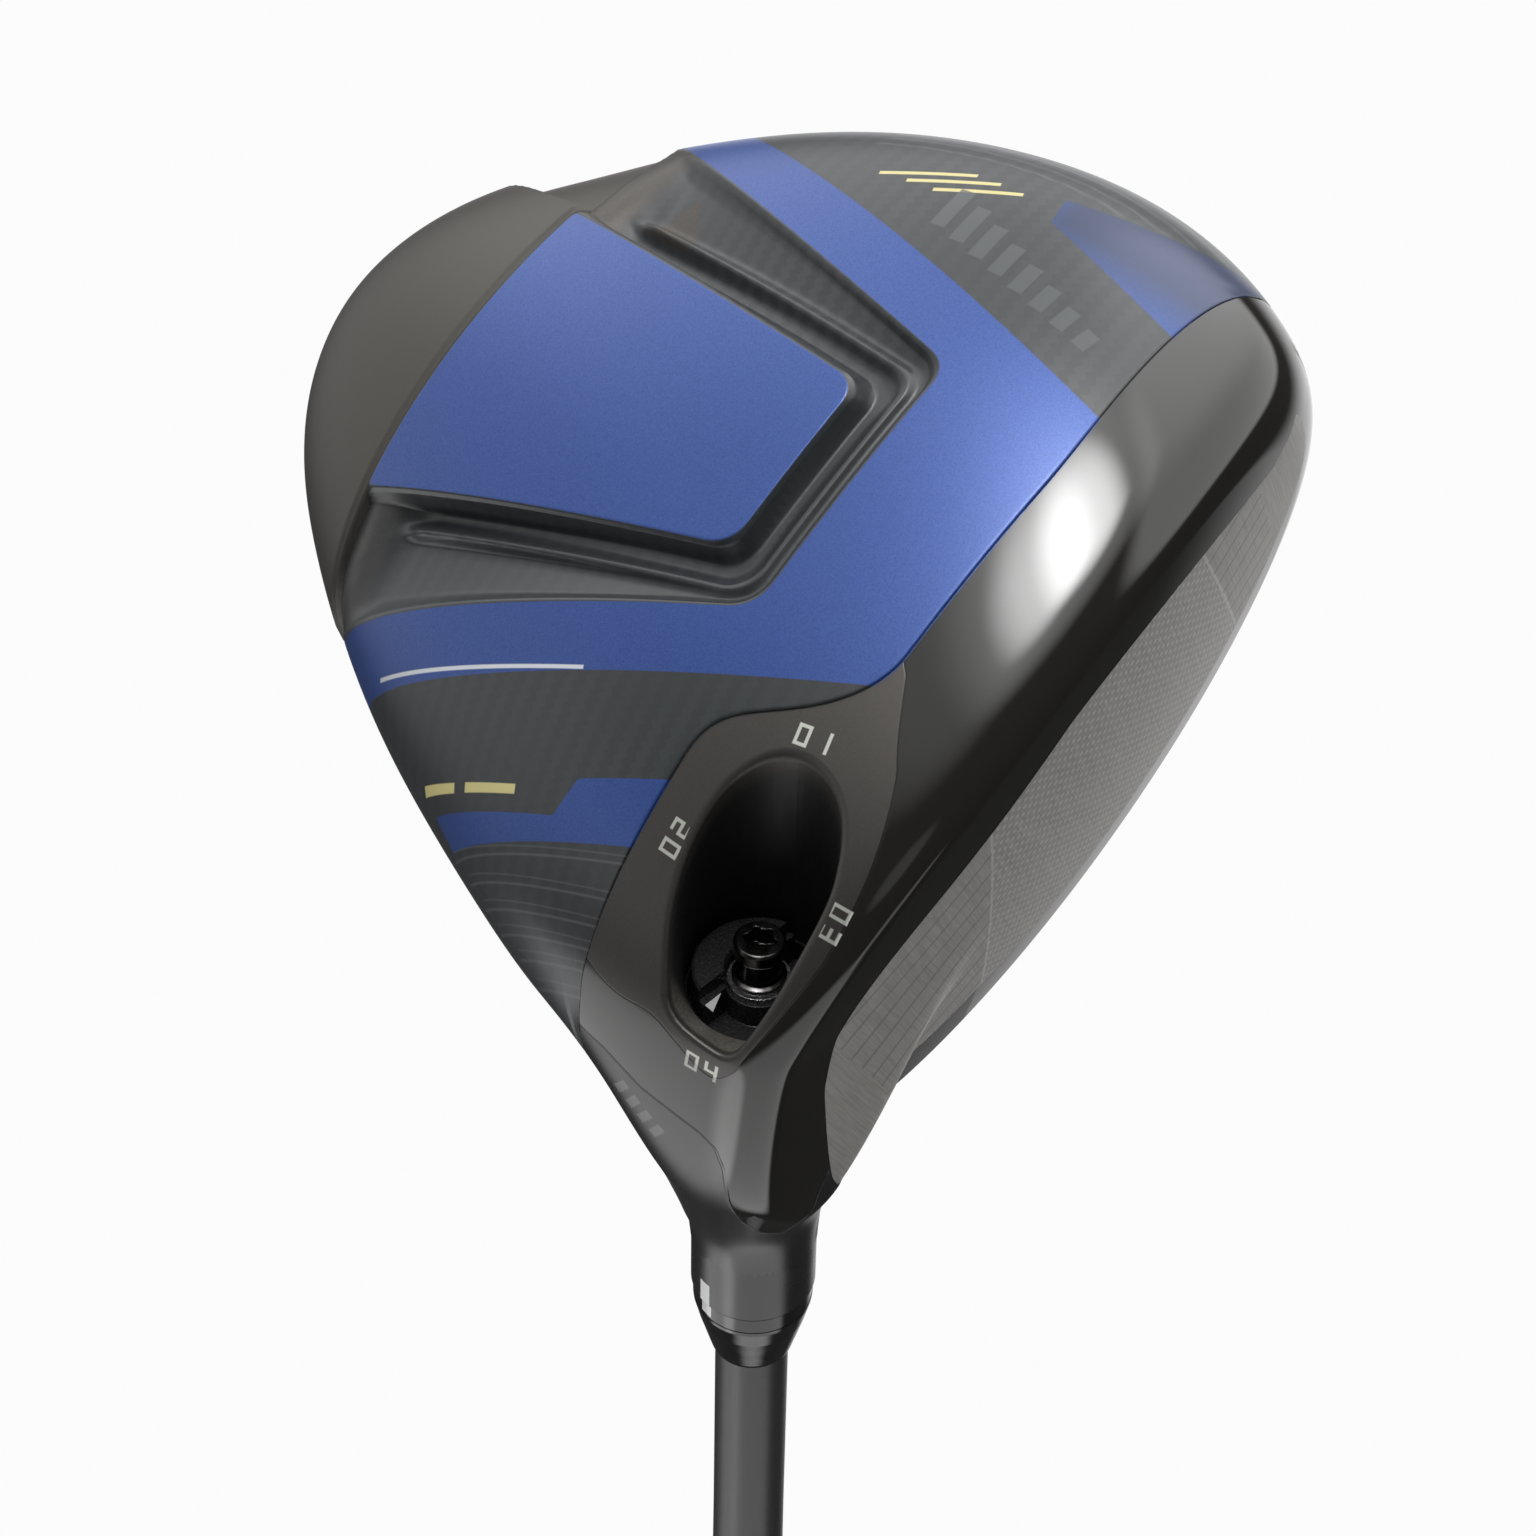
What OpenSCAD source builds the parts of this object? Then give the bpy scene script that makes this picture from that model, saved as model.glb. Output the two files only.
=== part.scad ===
// Golf driver: hollow metal-and-composite head, adjustable hosel joint, tapered shaft and grip.
// Address pose. +X heel to toe, +Y towards the target, +Z up, millimetres.
// The origin is the point of the ground plane under the middle of the leading edge.

/* [Head] */
// Lie angle of the shaft axis above the ground
lie = 59; // [56:0.5:62]
// Static loft of the face
loft = 10.5; // [8:0.5:13]
// Height of the widest line of the head above the ground
belt_z = 27.5; // [24:0.5:31]
// Height of the crown over the middle of the head
crown_z = 63.5; // [56:0.5:66]
// How much the crown rises towards the face
crown_lean = 0.136; // [0:0.01:0.2]
// How much the sole drops towards the face
sole_lean = 0.118; // [0:0.01:0.2]
// Fullness of the crown section (2 is an ellipse)
crown_full = 2.3; // [2:0.1:2.6]
// Fullness of the sole section (2 is an ellipse)
sole_full = 2.3; // [2:0.1:2.6]
// Middle of the head, distance behind the leading edge
mid_back = 52; // [48:1:56]
// Softness of the edge round the face
edge_soft = 7; // [4:0.5:10]
// Face bulge and roll radius
face_radius = 300; // [250:10:350]

/* [Outline of the head, control radii from its middle] */
// Toe
ctl_toe = 56; // [50:0.5:62]
// Toe, 30 degrees forward
ctl_toe_30 = 65.5; // [60:0.5:70]
// Toe front
ctl_toe_60 = 66.5; // [62:0.5:72]
// Front
ctl_front = 72.5; // [68:0.5:76]
// Heel front
ctl_heel_60 = 78; // [74:0.5:80]
// Heel, 30 degrees forward
ctl_heel_30 = 63.5; // [60:0.5:66]
// Heel
ctl_heel = 48; // [45:0.5:52]
// Heel, 30 degrees back
ctl_heel_b30 = 46.5; // [44:0.5:50]
// Heel rear
ctl_heel_b60 = 53; // [50:0.5:58]
// Rear
ctl_rear = 71.5; // [66:0.5:74]
// Toe rear
ctl_toe_b60 = 54.5; // [50:0.5:58]
// Toe, 30 degrees back
ctl_toe_b30 = 52; // [48:0.5:56]

/* [Walls and seams] */
// Composite panel wall
panel_t = 1.1; // [0.8:0.1:1.6]
// Metal front body wall
front_t = 1.5; // [1.2:0.1:2.2]
// Face plate thickness
face_t = 2.8; // [2.4:0.1:3.4]
// Rear weight thickness
weight_t = 4; // [3:0.25:6]
// Distance of the sole seam behind the leading edge
sole_seam = 17; // [14:0.5:22]
// Extra distance of that seam at the heel
heel_seam_drop = 14.5; // [10:0.5:18]
// Distance of the crown seam behind the leading edge
crown_seam = 14; // [11:0.5:18]
// Extra distance of the crown seam round the hosel
crown_seam_drop = 22; // [16:0.5:28]
// Front edge of the rear weight behind the leading edge
weight_seam = 90; // [86:0.5:96]

/* [Raised island of the sole] */
// Front edge behind the leading edge
isle_front = 41; // [38:0.5:44]
// Toe edge, distance from the middle plane
isle_toe = 21.5; // [18:0.5:24]
// Heel edge at the front
isle_heel_front = 1; // [0:0.5:4]
// Heel edge at the rear
isle_heel_rear = 17.5; // [14:0.5:20]
// Height of the island above the sole
isle_h = 0.5; // [0.2:0.1:1.2]
// Depth of the channel round it
groove_d = 2.4; // [1:0.1:3.5]
// Front edge of the channel behind the leading edge
groove_front = 34.5; // [32:0.5:37]
// Toe edge of the channel at the front
groove_toe_front = 28.5; // [26:0.5:31]
// Toe edge of the channel at the rear
groove_toe_rear = 36; // [33:0.5:40]
// Heel edge of the channel at the front
groove_heel_front = 5; // [3:0.5:8]
// Heel edge of the channel at the rear
groove_heel_rear = 31; // [28:0.5:34]

/* [Hosel and adjustable joint] */
// Where the shaft axis meets the ground, heel side of the middle
axis_x = 24; // [20:0.5:32]
// Where the shaft axis meets the ground, behind the leading edge
axis_back = 18; // [14:0.5:22]
// Distance along the axis from the ground to the hosel mouth
mouth_s = 74.2; // [70:0.2:78]
// Outside radius of the hosel at its mouth
hosel_r = 7.2; // [6.8:0.1:7.6]
// Bore radius of the hosel
bore_r = 6.05; // [5.8:0.05:6.2]
// Distance along the axis to the end of the screw head
screw_s = 17; // [15:0.5:19]
// Radius of the screw head
screw_head_r = 2.85; // [2.6:0.05:3.2]
// Radius of the screw thread
thread_r = 2.5; // [2.4:0.05:2.5]
// Outside radius of the setting dial
dial_r = 7.3; // [7:0.1:7.5]
// Radius of the recess in the sole
port_r = 8.5; // [8.2:0.1:8.8]
// Radius of the seat that the dial turns in
seat_r = 7.75; // [7.6:0.05:8]

/* [Shaft and grip] */
// Playing length measured along the axis from the ground
club_len = 1155.7; // [1130:0.1:1168]
// Shaft radius at the tip
tip_r = 4.3; // [4.25:0.05:4.5]
// Shaft radius at the butt
butt_r = 7.6; // [7.4:0.1:7.8]
// Length of the grip
grip_len = 267; // [260:1:275]

/* [Hidden] */

// Middle of the head in plan, and the control radii every 30 degrees from toe through front
mid_x = 2;
mid_y = -mid_back;
outline_ctl = [ctl_toe, ctl_toe_30, ctl_toe_60, ctl_front, ctl_heel_60, ctl_heel_30,
               ctl_heel, ctl_heel_b30, ctl_heel_b60, ctl_rear, ctl_toe_b60, ctl_toe_b30];

// Shaft axis: ground point, direction up it, and the direction square to it, heelwards and down
axis_foot = [-axis_x, -axis_back, 0];
axis_dir = [-cos(lie), 0, sin(lie)];
axis_under = [-sin(lie), 0, -cos(lie)];

// Face: height of the middle of the roll, and angular place and reach of the plate round the head
roll_z = 28;
face_mid = 88;
face_toe_span = 43;
face_heel_span = 36;

// Grids over the head: columns all round, and rows of the front body from sole seam to crown seam
head_cols = 96;
front_rows = 21;
face_low_row = 7;
face_top_row = 15;
min_band = 3;               // least angle between the lower and upper edge of a used column

// Sole grid: rows from the middle of the island out, of which groove_row is the channel's edge
sole_rows = 13;
groove_row = 5;
isle_mid = [3, -66];
isle_toe_flare = 0.8;
groove_rear = 84;
isle = [[isle_toe, -isle_front], [-isle_heel_front, -isle_front],
        [-isle_heel_rear, -weight_seam], [isle_toe + isle_toe_flare, -weight_seam]];
groove = [[groove_toe_front, -groove_front], [-groove_heel_front, -groove_front],
          [-groove_heel_rear, -groove_rear], [groove_toe_rear, -groove_rear]];

// Joint: distances along the axis from the ground, and shared radii
seat_s = 28;                // underside of the hosel floor
floor_s = 30.4;             // upper side of the hosel floor
socket_s = 40;              // floor of the sleeve's shaft socket
floor_hole_r = 3.65;
port_bulge = [-2, 1.5];     // shift of the second circle of the recess
port_bulge_r = port_r + 0.2;
thread_gap = 0.05;
sleeve_collar_r = 6.9;
socket_r = tip_r + 0.15;
bond_gap = 0.02;            // between a part on the shaft and the shaft

// Dial: hub radius, bore radius, wall of the cut in it, and the arrow as [across, along the axis]
hub_r = 3.8;
dial_bore_r = 2.6;
dial_wall_y = -1.45;
arrow = [[-6.85, 23.2], [-4.35, 23.2], [-5.6, 25.3]];
arrow_mid = (arrow[0] + arrow[1] + arrow[2]) / 3;

// Shaft and grip
shaft_s = 40.2;             // tip end
shaft_wall = 1.45;          // at the tip
butt_wall = 1;
taper_s = 118;              // start of the taper
butt_s = club_len - 5;      // butt end
butt_taper_s = butt_s - 200; // end of the taper
grip_s = club_len - grip_len;
grip_gap = 0.25;
grip_steps = 8;             // stations along the inside of the grip

// ---- Arithmetic ----

function clamp(v, low, high) = min(max(v, low), high);
function blend(from, to, t) = from + (to - from) * t;
function unit(v) = v / max(norm(v), 0.000001);
function smooth_step(from, to, v) =
    let (t = clamp((v - from) / (to - from), 0, 1)) t * t * (3 - 2 * t);

// minimum and maximum with the corner rounded over the width soft
function soft_min(a, b, soft) =
    let (t = clamp(0.5 + 0.5 * (b - a) / soft, 0, 1)) b * (1 - t) + a * t - soft * t * (1 - t);
function soft_max(a, b, soft) = -soft_min(-a, -b, soft);

// ---- Surface of the head ----
// around: angle round the outline, 0 toe, 90 front, 180 heel, 270 rear
// lat: latitude, -90 sole, 0 belt, 90 crown

function col_angle(i) = 360 * i / head_cols;

// closed cubic B-spline through the control radii
function outline_r(around) =
    let (q = ((around % 360) + 360) % 360 / 30,
         i = floor(q) % 12,
         u = q - floor(q),
         weights = [pow(1 - u, 3), 3 * pow(u, 3) - 6 * u * u + 4,
                    -3 * pow(u, 3) + 3 * u * u + 3 * u + 1, pow(u, 3)],
         radii = [for (k = [11:14]) outline_ctl[(i + k) % 12]])
    weights * radii / 6;

// deepest point of the unscaled sole; dividing by it makes the sole touch the ground
sole_peak = max([for (i = [0:60]) let (r = i / 60)
                 pow(1 - pow(r, sole_full), 1 / sole_full) * (1 + sole_lean * r)]);

function face_y(x, z) =
    -z * tan(loft) - x * x / (2 * face_radius) - pow(z - roll_z, 2) / (2 * face_radius);

// flare that carries the head surface up round the hosel, wider on the heel's underside
function neck(p) =
    let (v = p - axis_foot,
         along = v * axis_dir,
         across = v - along * axis_dir,
         dist = norm(across) + 0.001,
         flare_r = max(hosel_r, dist * (1 + 0.5 * max(0, across * axis_under / dist))),
         flare_s = 36 + 28 * exp(-(flare_r - hosel_r) / 5.5),
         fade = smooth_step(22, 36, along))
    p + axis_dir * (fade * (soft_max(along, flare_s, 6) - along));

function head_pt(around, lat) =
    let (up = lat > 0,
         power = 2 / (up ? crown_full : sole_full),
         radius = outline_r(around) * pow(abs(cos(lat)), power),
         height = pow(abs(sin(lat)), power),
         x = mid_x + radius * cos(around),
         y = mid_y + radius * sin(around),
         lean = 1 + (up ? crown_lean : sole_lean) * (y - mid_y) / 60,
         z = up ? belt_z + (crown_z - belt_z) * height * lean
                : belt_z * (1 - height * lean / sole_peak))
    neck([x, soft_min(y, face_y(x, z), edge_soft), z]);

// outward normal, from points 0.4 degrees to each side
function head_normal(around, lat) = abs(lat) > 89.9 ? [0, 0, sign(lat)] :
    unit(cross(head_pt(around + 0.4, lat) - head_pt(around - 0.4, lat),
               head_pt(around, lat + 0.4) - head_pt(around, lat - 0.4)));

// head point at q = [around, lat], moved inwards by depth
function inset_pt(q, depth) = head_pt(q[0], q[1]) - depth * head_normal(q[0], q[1]);
function inset_all(grid, depth) = [for (q = grid) inset_pt(q, depth)];

// plan point to [around, lat] on the sole
function sole_coords(x, y) =
    let (dx = x - mid_x,
         dy = y - mid_y,
         around = atan2(dy, dx),
         part = min(0.99999, norm([dx, dy]) / outline_r(around)))
    [around, -acos(pow(part, sole_full / 2))];

// ---- Seams, as latitudes at each angle ----

// latitude where a column reaches the plan line y; 0 where the outline ends first
function lat_at(around, y, full) =
    let (part = (y - mid_y) / (outline_r(around) * sin(around)))
    part >= 1 || part <= 0 ? 0 : acos(pow(part, full / 2));

function sole_seam_y(around) = -sole_seam - heel_seam_drop * smooth_step(94, 140, around)
    - 3 * smooth_step(60, 20, around);
function crown_seam_y(around) = -crown_seam - crown_seam_drop * smooth_step(108, 140, around);

// lower and upper edge of the metal: the front body at the front, the weight at the rear
function low_lat(around) =
    -max(1.5, lat_at(around, around < 180 ? sole_seam_y(around) : -weight_seam, sole_full));
function top_lat(around) =
    around < 180 ? max(-1, lat_at(around, crown_seam_y(around), crown_full) - 1.5) : -1;

// lens-shaped face outline: height from 0 to 1, then its edges as shares of the metal's band
function face_height(around) =
    let (e = around < face_mid ? (face_mid - around) / face_toe_span
                               : (around - face_mid) / face_heel_span)
    e >= 1 ? 0 : pow(1 - pow(e, 2.6), 0.55);
function face_low_share(around) = around < face_mid
    ? 0.31 + 0.19 * min(1, pow((face_mid - around) / 34.8, 1.6))
    : let (e = min(1, (around - face_mid) / face_heel_span)) 0.31 + 0.07 * e + 0.07 * pow(e, 8);
function face_top_share(around) = 0.60 + 0.244 * face_height(around);

// columns from first to last where the metal is tall enough to build
function metal_cols(first, last) =
    [for (i = [first:last]) if (top_lat(col_angle(i)) - low_lat(col_angle(i)) > min_band) i];

front_cols = metal_cols(0, head_cols / 2);
front_first = max(front_cols[0] - 1, 0);
front_n = min(front_cols[len(front_cols) - 1] + 1, head_cols / 2) - front_first + 1;

weight_cols = metal_cols(head_cols / 2, head_cols - 1);
weight_first = weight_cols[0];
weight_n = weight_cols[len(weight_cols) - 1] - weight_first + 1;

// ---- Shells ----

// two triangles over a four-cornered cell
function quad(a, b, c, d) = [[c, b, a], [d, c, a]];

// closed shell between two grids of points, ni columns of nj rows; keep(i, j) chooses the cells
// wrap joins the last column to the first; poles = [outer, inner] closes row 0 with a fan
module shell(outer, inner, ni, nj, keep = function(i, j) true, wrap = false, poles = []) {
    deep = ni * nj;
    fan = len(poles) > 0;
    next = function(i) wrap ? (i + 1) % ni : i + 1;
    kept = function(i, j) (wrap || (i >= 0 && i < ni - 1)) && j >= 0 && j < nj - 1
                          && keep((i + ni) % ni, j);
    last = wrap ? ni - 1 : ni - 2;
    cells = [for (i = [0:last], j = [0:nj - 2]) if (keep(i, j))
        let (a = i * nj + j, b = next(i) * nj + j, c = b + 1, d = a + 1)
        each concat(
            quad(a, b, c, d),
            quad(deep + a, deep + d, deep + c, deep + b),
            !kept(i, j - 1) && !(fan && j == 0) ? quad(a, deep + a, deep + b, b) : [],
            !kept(i, j + 1) ? quad(d, c, deep + c, deep + d) : [],
            !kept(i - 1, j) ? quad(a, d, deep + d, deep + a) : [],
            !kept(i + 1, j) ? quad(b, deep + b, deep + c, c) : [])];
    caps = fan ? [for (i = [0:last]) let (a = i * nj, b = next(i) * nj)
        each [[a, b, 2 * deep], [deep + b, deep + a, 2 * deep + 1]]] : [];
    polyhedron(points = concat(outer, inner, poles), faces = concat(cells, caps), convexity = 10);
}

// even wall under the head surface, its outside at the given depth
module skin(grid, ni, nj, wall, depth = 0, wrap = false, poles = []) {
    shell(inset_all(grid, depth), inset_all(grid, depth + wall), ni, nj,
          wrap = wrap, poles = poles);
}

function front_lat(around, j) =
    let (low = low_lat(around),
         top = top_lat(around),
         face_low = blend(low, top, face_low_share(around)),
         face_top = blend(low, top, face_top_share(around)))
    j == 0 ? low + min(0.06, (face_low - low) / (2 * face_low_row)) :
    j <= face_low_row ? blend(low, face_low, j / face_low_row) :
    j <= face_top_row
        ? blend(face_low, face_top, (j - face_low_row) / (face_top_row - face_low_row))
        : blend(face_top, top, (j - face_top_row) / (front_rows - 1 - face_top_row));

function is_face(i, j) = j >= face_low_row && j < face_top_row
    && face_height(col_angle(i + front_first)) > 0.05
    && face_height(col_angle(i + front_first + 1)) > 0.05;

// wall(around, rim) is the thickness, with rim true on and outside the rim of the face rows and
// kept columns; gap draws that rim in by a fraction of a degree
module front_shell(wall, keep, gap = 0) {
    mid_row = 10;
    kept = [for (i = [0:front_n - 2]) if (keep(i, mid_row)) i];
    first = min(kept);
    last = max(kept) + 1;
    grid = [for (i = [0:front_n - 1], j = [0:front_rows - 1])
        let (around = col_angle(i + front_first))
        [around + (i == first ? gap : i == last ? -gap : 0),
         front_lat(around, j) + (j == face_low_row ? gap : j == face_top_row ? -gap : 0)]];
    inner = [for (i = [0:front_n - 1], j = [0:front_rows - 1])
        let (q = grid[i * front_rows + j],
             rim = j <= face_low_row || j >= face_top_row || i <= first || i >= last)
        inset_pt(q, wall(q[0], rim))];
    shell(inset_all(grid, 0), inner, front_n, front_rows, keep);
}

// ---- Sole island and channel ----

// distance along the ray from start in direction dir to the line through a and b
function ray_hit(start, dir, a, b) =
    let (far = 1000,
         edge = b - a,
         normal = [edge[1], -edge[0]],
         slope = normal * dir)
    abs(slope) < 0.000001 ? far : let (t = (normal * (a - start)) / slope) t > 0 ? t : far;
function quad_hit(dir, corners) =
    min([for (i = [0:3]) ray_hit(isle_mid, dir, corners[i], corners[(i + 1) % 4])]);

// ray of column i from the middle of the island to the edge of the sole panel
function sole_ray(i) =
    let (p = head_pt(col_angle(i), low_lat(col_angle(i)))) [p[0], p[1]] - isle_mid;

// [fraction of the ray, depth] at row j; the channel fades out towards the rear weight
function sole_row(dir, j) =
    let (isle_end = min(0.90, quad_hit(dir, isle)),
         groove_end = clamp(quad_hit(dir, groove), isle_end + 0.05, 0.965),
         width = groove_end - isle_end,
         length = norm(dir),
         deep = groove_d * smooth_step(0.90, 0.84, isle_end) * smooth_step(3, 9, width * length))
    j <= 2 ? [[0.4, 0.75, 1][j] * isle_end, -isle_h] :
    j == 3 ? [min(isle_end + 2.2 / length, isle_end + width * 0.4), deep] :
    j == 4 ? [isle_end + width * 0.72, deep * 0.8] :
    [groove_end + (1 - groove_end) * sin(90 * (j - groove_row) / (sole_rows - 1 - groove_row)), 0];

function sole_pt(i, j, depth) =
    let (dir = sole_ray(i),
         row = sole_row(dir, j),
         p = isle_mid + dir * row[0],
         q = j == sole_rows - 1 ? [col_angle(i), low_lat(col_angle(i))]
                                : sole_coords(p[0], p[1]))
    inset_pt(q, row[1] + depth);
function sole_grid(depth) =
    [for (i = [0:head_cols - 1], j = [0:sole_rows - 1]) sole_pt(i, j, depth)];

// ---- Turned parts on the shaft axis ----

module on_axis(s = 0) {
    translate(axis_foot) rotate([0, lie - 90, 0]) translate([0, 0, s]) children();
}

module tube(outer_r, inner_r, from, to) {
    on_axis(from) difference() {
        cylinder(r = outer_r, h = to - from, $fn = 96);
        translate([0, 0, -1]) cylinder(r = inner_r, h = to - from + 2, $fn = 96);
    }
}

// every profile is a list of [radius, distance along the axis]
module lathe(profile) {
    on_axis() rotate_extrude($fn = 96) polygon(profile);
}

// ---- Head pieces ----

module front_body() {
    cut_s = -12;
    cut_h = 38;
    color([0.06, 0.06, 0.065])
    difference() {
        front_shell(function(around, rim) front_t, function(i, j) !is_face(i, j));
        on_axis(24) cylinder(r = hosel_r + 0.03, h = 60, $fn = 96);
        on_axis(cut_s) cylinder(r = port_r + 0.02, h = cut_h, $fn = 96);
        on_axis(cut_s) translate([port_bulge[0], port_bulge[1], 0])
            cylinder(r = port_bulge_r, h = cut_h, $fn = 96);
    }
}

// the plate thins towards the hosel, and matches the body's wall at its rim
module face_plate() {
    color([0.16, 0.15, 0.15])
    front_shell(function(around, rim)
                    rim ? front_t : face_t - (face_t - front_t) * smooth_step(100, 120, around),
                function(i, j) is_face(i, j), gap = 0.12);
}

module crown_panel() {
    rows = 11;
    inner_lat = 86;
    grid = [for (i = [0:head_cols - 1], j = [0:rows - 1])
        let (around = col_angle(i), gap = around < 45 ? 0.5 : around < 168 ? 0.14 : 0.75)
        [around, blend(inner_lat, top_lat(around) + gap, j / (rows - 1))]];
    color([0.10, 0.11, 0.12])
    skin(grid, head_cols, rows, panel_t, wrap = true,
         poles = [inset_pt([0, 90], 0), inset_pt([0, 90], panel_t)]);
}

module sole_panel() {
    mid = sole_coords(isle_mid[0], isle_mid[1]);
    color([0.10, 0.18, 0.45])
    shell(sole_grid(0), sole_grid(panel_t), head_cols, sole_rows, wrap = true,
          poles = [inset_pt(mid, -isle_h), inset_pt(mid, panel_t - isle_h)]);
}

module rear_weight() {
    rows = 8;
    grid = [for (i = [0:weight_n - 1], j = [0:rows - 1])
        let (around = col_angle(i + weight_first))
        [around, blend(low_lat(around) + 0.16, -1.05, j / (rows - 1))]];
    color([0.36, 0.33, 0.30])
    skin(grid, weight_n, rows, weight_t);
}

// metal ledge inside the belt that the two composite panels are glued to
module bond_ring() {
    rows = 3;
    first = head_cols / 2 - 2;
    count = head_cols / 2 + 9;
    grid = [for (i = [0:count - 1], j = [0:rows - 1])
        [col_angle((i + first) % head_cols), blend(-5, 9, j / (rows - 1))]];
    color([0.5, 0.5, 0.52])
    skin(grid, count, rows, wall = 1, depth = weight_t + 0.2);
}

// thin stiffening ribs on the inside of the sole
module sound_ribs() {
    rib_t = 1;
    rear_y = -64;
    pitch = 3.6;
    steps = 9;
    lift = groove_d + panel_t;
    sole_z = function(x, y) let (q = sole_coords(x, y)) head_pt(q[0], q[1])[2];
    color([0.45, 0.45, 0.47])
    for (x = [8, 20, 32])
        translate([x, 0, 0]) rotate([90, 0, 90]) translate([0, 0, -rib_t / 2])
            linear_extrude(rib_t) polygon(concat(
                [for (i = [0:steps]) let (y = rear_y + pitch * i)
                    [y, sole_z(x, y) + lift + 0.5]],
                [for (i = [steps:-1:0]) let (y = rear_y + pitch * i)
                    [y, sole_z(x, y) + lift + 3 + 2.5 * sin(20 * i)]]));
}

// ---- Hosel and joint ----

module hosel() {
    color([0.07, 0.07, 0.08])
    lathe([[floor_hole_r, seat_s], [seat_r, seat_s], [seat_r, 24.7], [seat_r + 0.2, 24.5],
           [port_r + 0.1, 24.5], [port_r + 0.2, 24.8], [port_r, seat_s], [hosel_r, floor_s],
           [hosel_r, mouth_s - 0.4], [hosel_r - 0.3, mouth_s], [bore_r, mouth_s],
           [bore_r, floor_s], [floor_hole_r, floor_s]]);
}

// wall of the recess that the screw and the dial sit in, trimmed below a sloping plane
module screw_port() {
    color([0.10, 0.10, 0.11])
    difference() {
        on_axis(-6) linear_extrude(30.4) difference() {
            hull() {
                circle(r = port_r + 0.4, $fn = 96);
                translate(port_bulge) circle(r = port_bulge_r, $fn = 96);
            }
            circle(r = port_r, $fn = 96);
        }
        translate([-31, -axis_back, 10.1]) rotate([0, 23, 0])
            translate([0, 0, -30]) cube([90, 60, 60], center = true);
    }
}

module adaptor_sleeve() {
    end_s = 30.6;
    body_r = 6.0;
    color([0.72, 0.72, 0.74])
    lathe([[thread_r + thread_gap, end_s], [5.6, end_s], [body_r, 31], [body_r, mouth_s + 0.1],
           [sleeve_collar_r, mouth_s + 0.1], [sleeve_collar_r, mouth_s + 2.3],
           [socket_r, mouth_s + 2.3], [socket_r, socket_s], [thread_r + thread_gap, socket_s]]);
}

module tip_epoxy() {
    color([0.8, 0.75, 0.5])
    tube(tip_r + 0.13, tip_r + bond_gap, from = socket_s + 0.5, to = mouth_s + 2);
}

module tip_plug() {
    color([0.3, 0.3, 0.3])
    on_axis(socket_s + 1) cylinder(r = tip_r - 1.5, h = 8, $fn = 48);
}

module ferrule() {
    s = mouth_s + 2.4;
    color([0.03, 0.03, 0.035])
    lathe([[tip_r + bond_gap, s], [6.95, s], [6.9, s + 0.6], [6.35, s + 3.2], [5.7, s + 5.8],
           [5.15, s + 8], [4.95, s + 8.8], [4.8, s + 9.3], [tip_r + 0.25, s + 9.5],
           [tip_r + bond_gap, s + 9.5]]);
}

module arrow_slab(points, y, thick) {
    on_axis() translate([0, y, 0]) rotate([90, 0, 0]) linear_extrude(thick) polygon(points);
}

// stepped dial: the front half is cut away down to a low flange round the hub,
// and the arrow is inlaid in the cut wall
module dial_ring() {
    low_s = 21.2;
    high_s = 27.8;
    hub_low_s = 23.66;
    hub_high_s = 30.2;
    cut = 20;
    color([0.13, 0.13, 0.14])
    difference() {
        lathe([[dial_bore_r, hub_low_s], [hub_r, hub_low_s], [hub_r, low_s],
               [dial_r - 0.3, low_s], [dial_r, low_s + 0.3], [dial_r, high_s], [3.6, high_s],
               [3.6, hub_high_s], [dial_bore_r, hub_high_s]]);
        on_axis(20) translate([-cut / 2, -2.2, 0]) cube([cut, cut, 3]);
        difference() {
            on_axis(22.9) translate([-cut / 2, dial_wall_y, 0]) cube([cut, cut, 3.9]);
            on_axis(22) cylinder(r = hub_r, h = 7, $fn = 96);
        }
        arrow_slab(arrow, dial_wall_y + 0.05, 0.27);
    }
}

// the arrow, shrunk slightly about its middle to fit its pocket
module dial_pointer() {
    color([0.95, 0.95, 0.95])
    arrow_slab([for (p = arrow) blend(p, arrow_mid, 0.01)], dial_wall_y, 0.2);
}

// screw with a six-lobed socket in its head and a small collar under the thread
module retaining_screw() {
    shank_r = 2.52;
    collar_r = 3.0;
    end_s = 39.2;
    color([0.30, 0.30, 0.32])
    difference() {
        lathe([[0, screw_s], [screw_head_r - 0.3, screw_s], [screw_head_r, screw_s + 0.3],
               [screw_head_r, screw_s + 1.7], [shank_r, screw_s + 1.9], [shank_r, 22],
               [collar_r, 22.2], [collar_r, 22.8], [thread_r, 22.8], [thread_r, end_s - 0.8],
               [thread_r - 0.6, end_s], [0, end_s]]);
        on_axis(screw_s - 1) linear_extrude(3.3) union() {
            circle(r = 1.5, $fn = 48);
            for (a = [0:60:300]) rotate(a) translate([1.45, 0]) circle(r = 0.42, $fn = 24);
        }
    }
}

module screw_washer() {
    color([0.55, 0.55, 0.57])
    tube(3.5, thread_r + thread_gap, from = 22.85, to = 23.6);
}

// ---- Shaft and grip ----

function shaft_r(s) = s < taper_s ? tip_r :
    min(butt_r, tip_r + (butt_r - tip_r) * (s - taper_s) / (butt_taper_s - taper_s));

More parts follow.
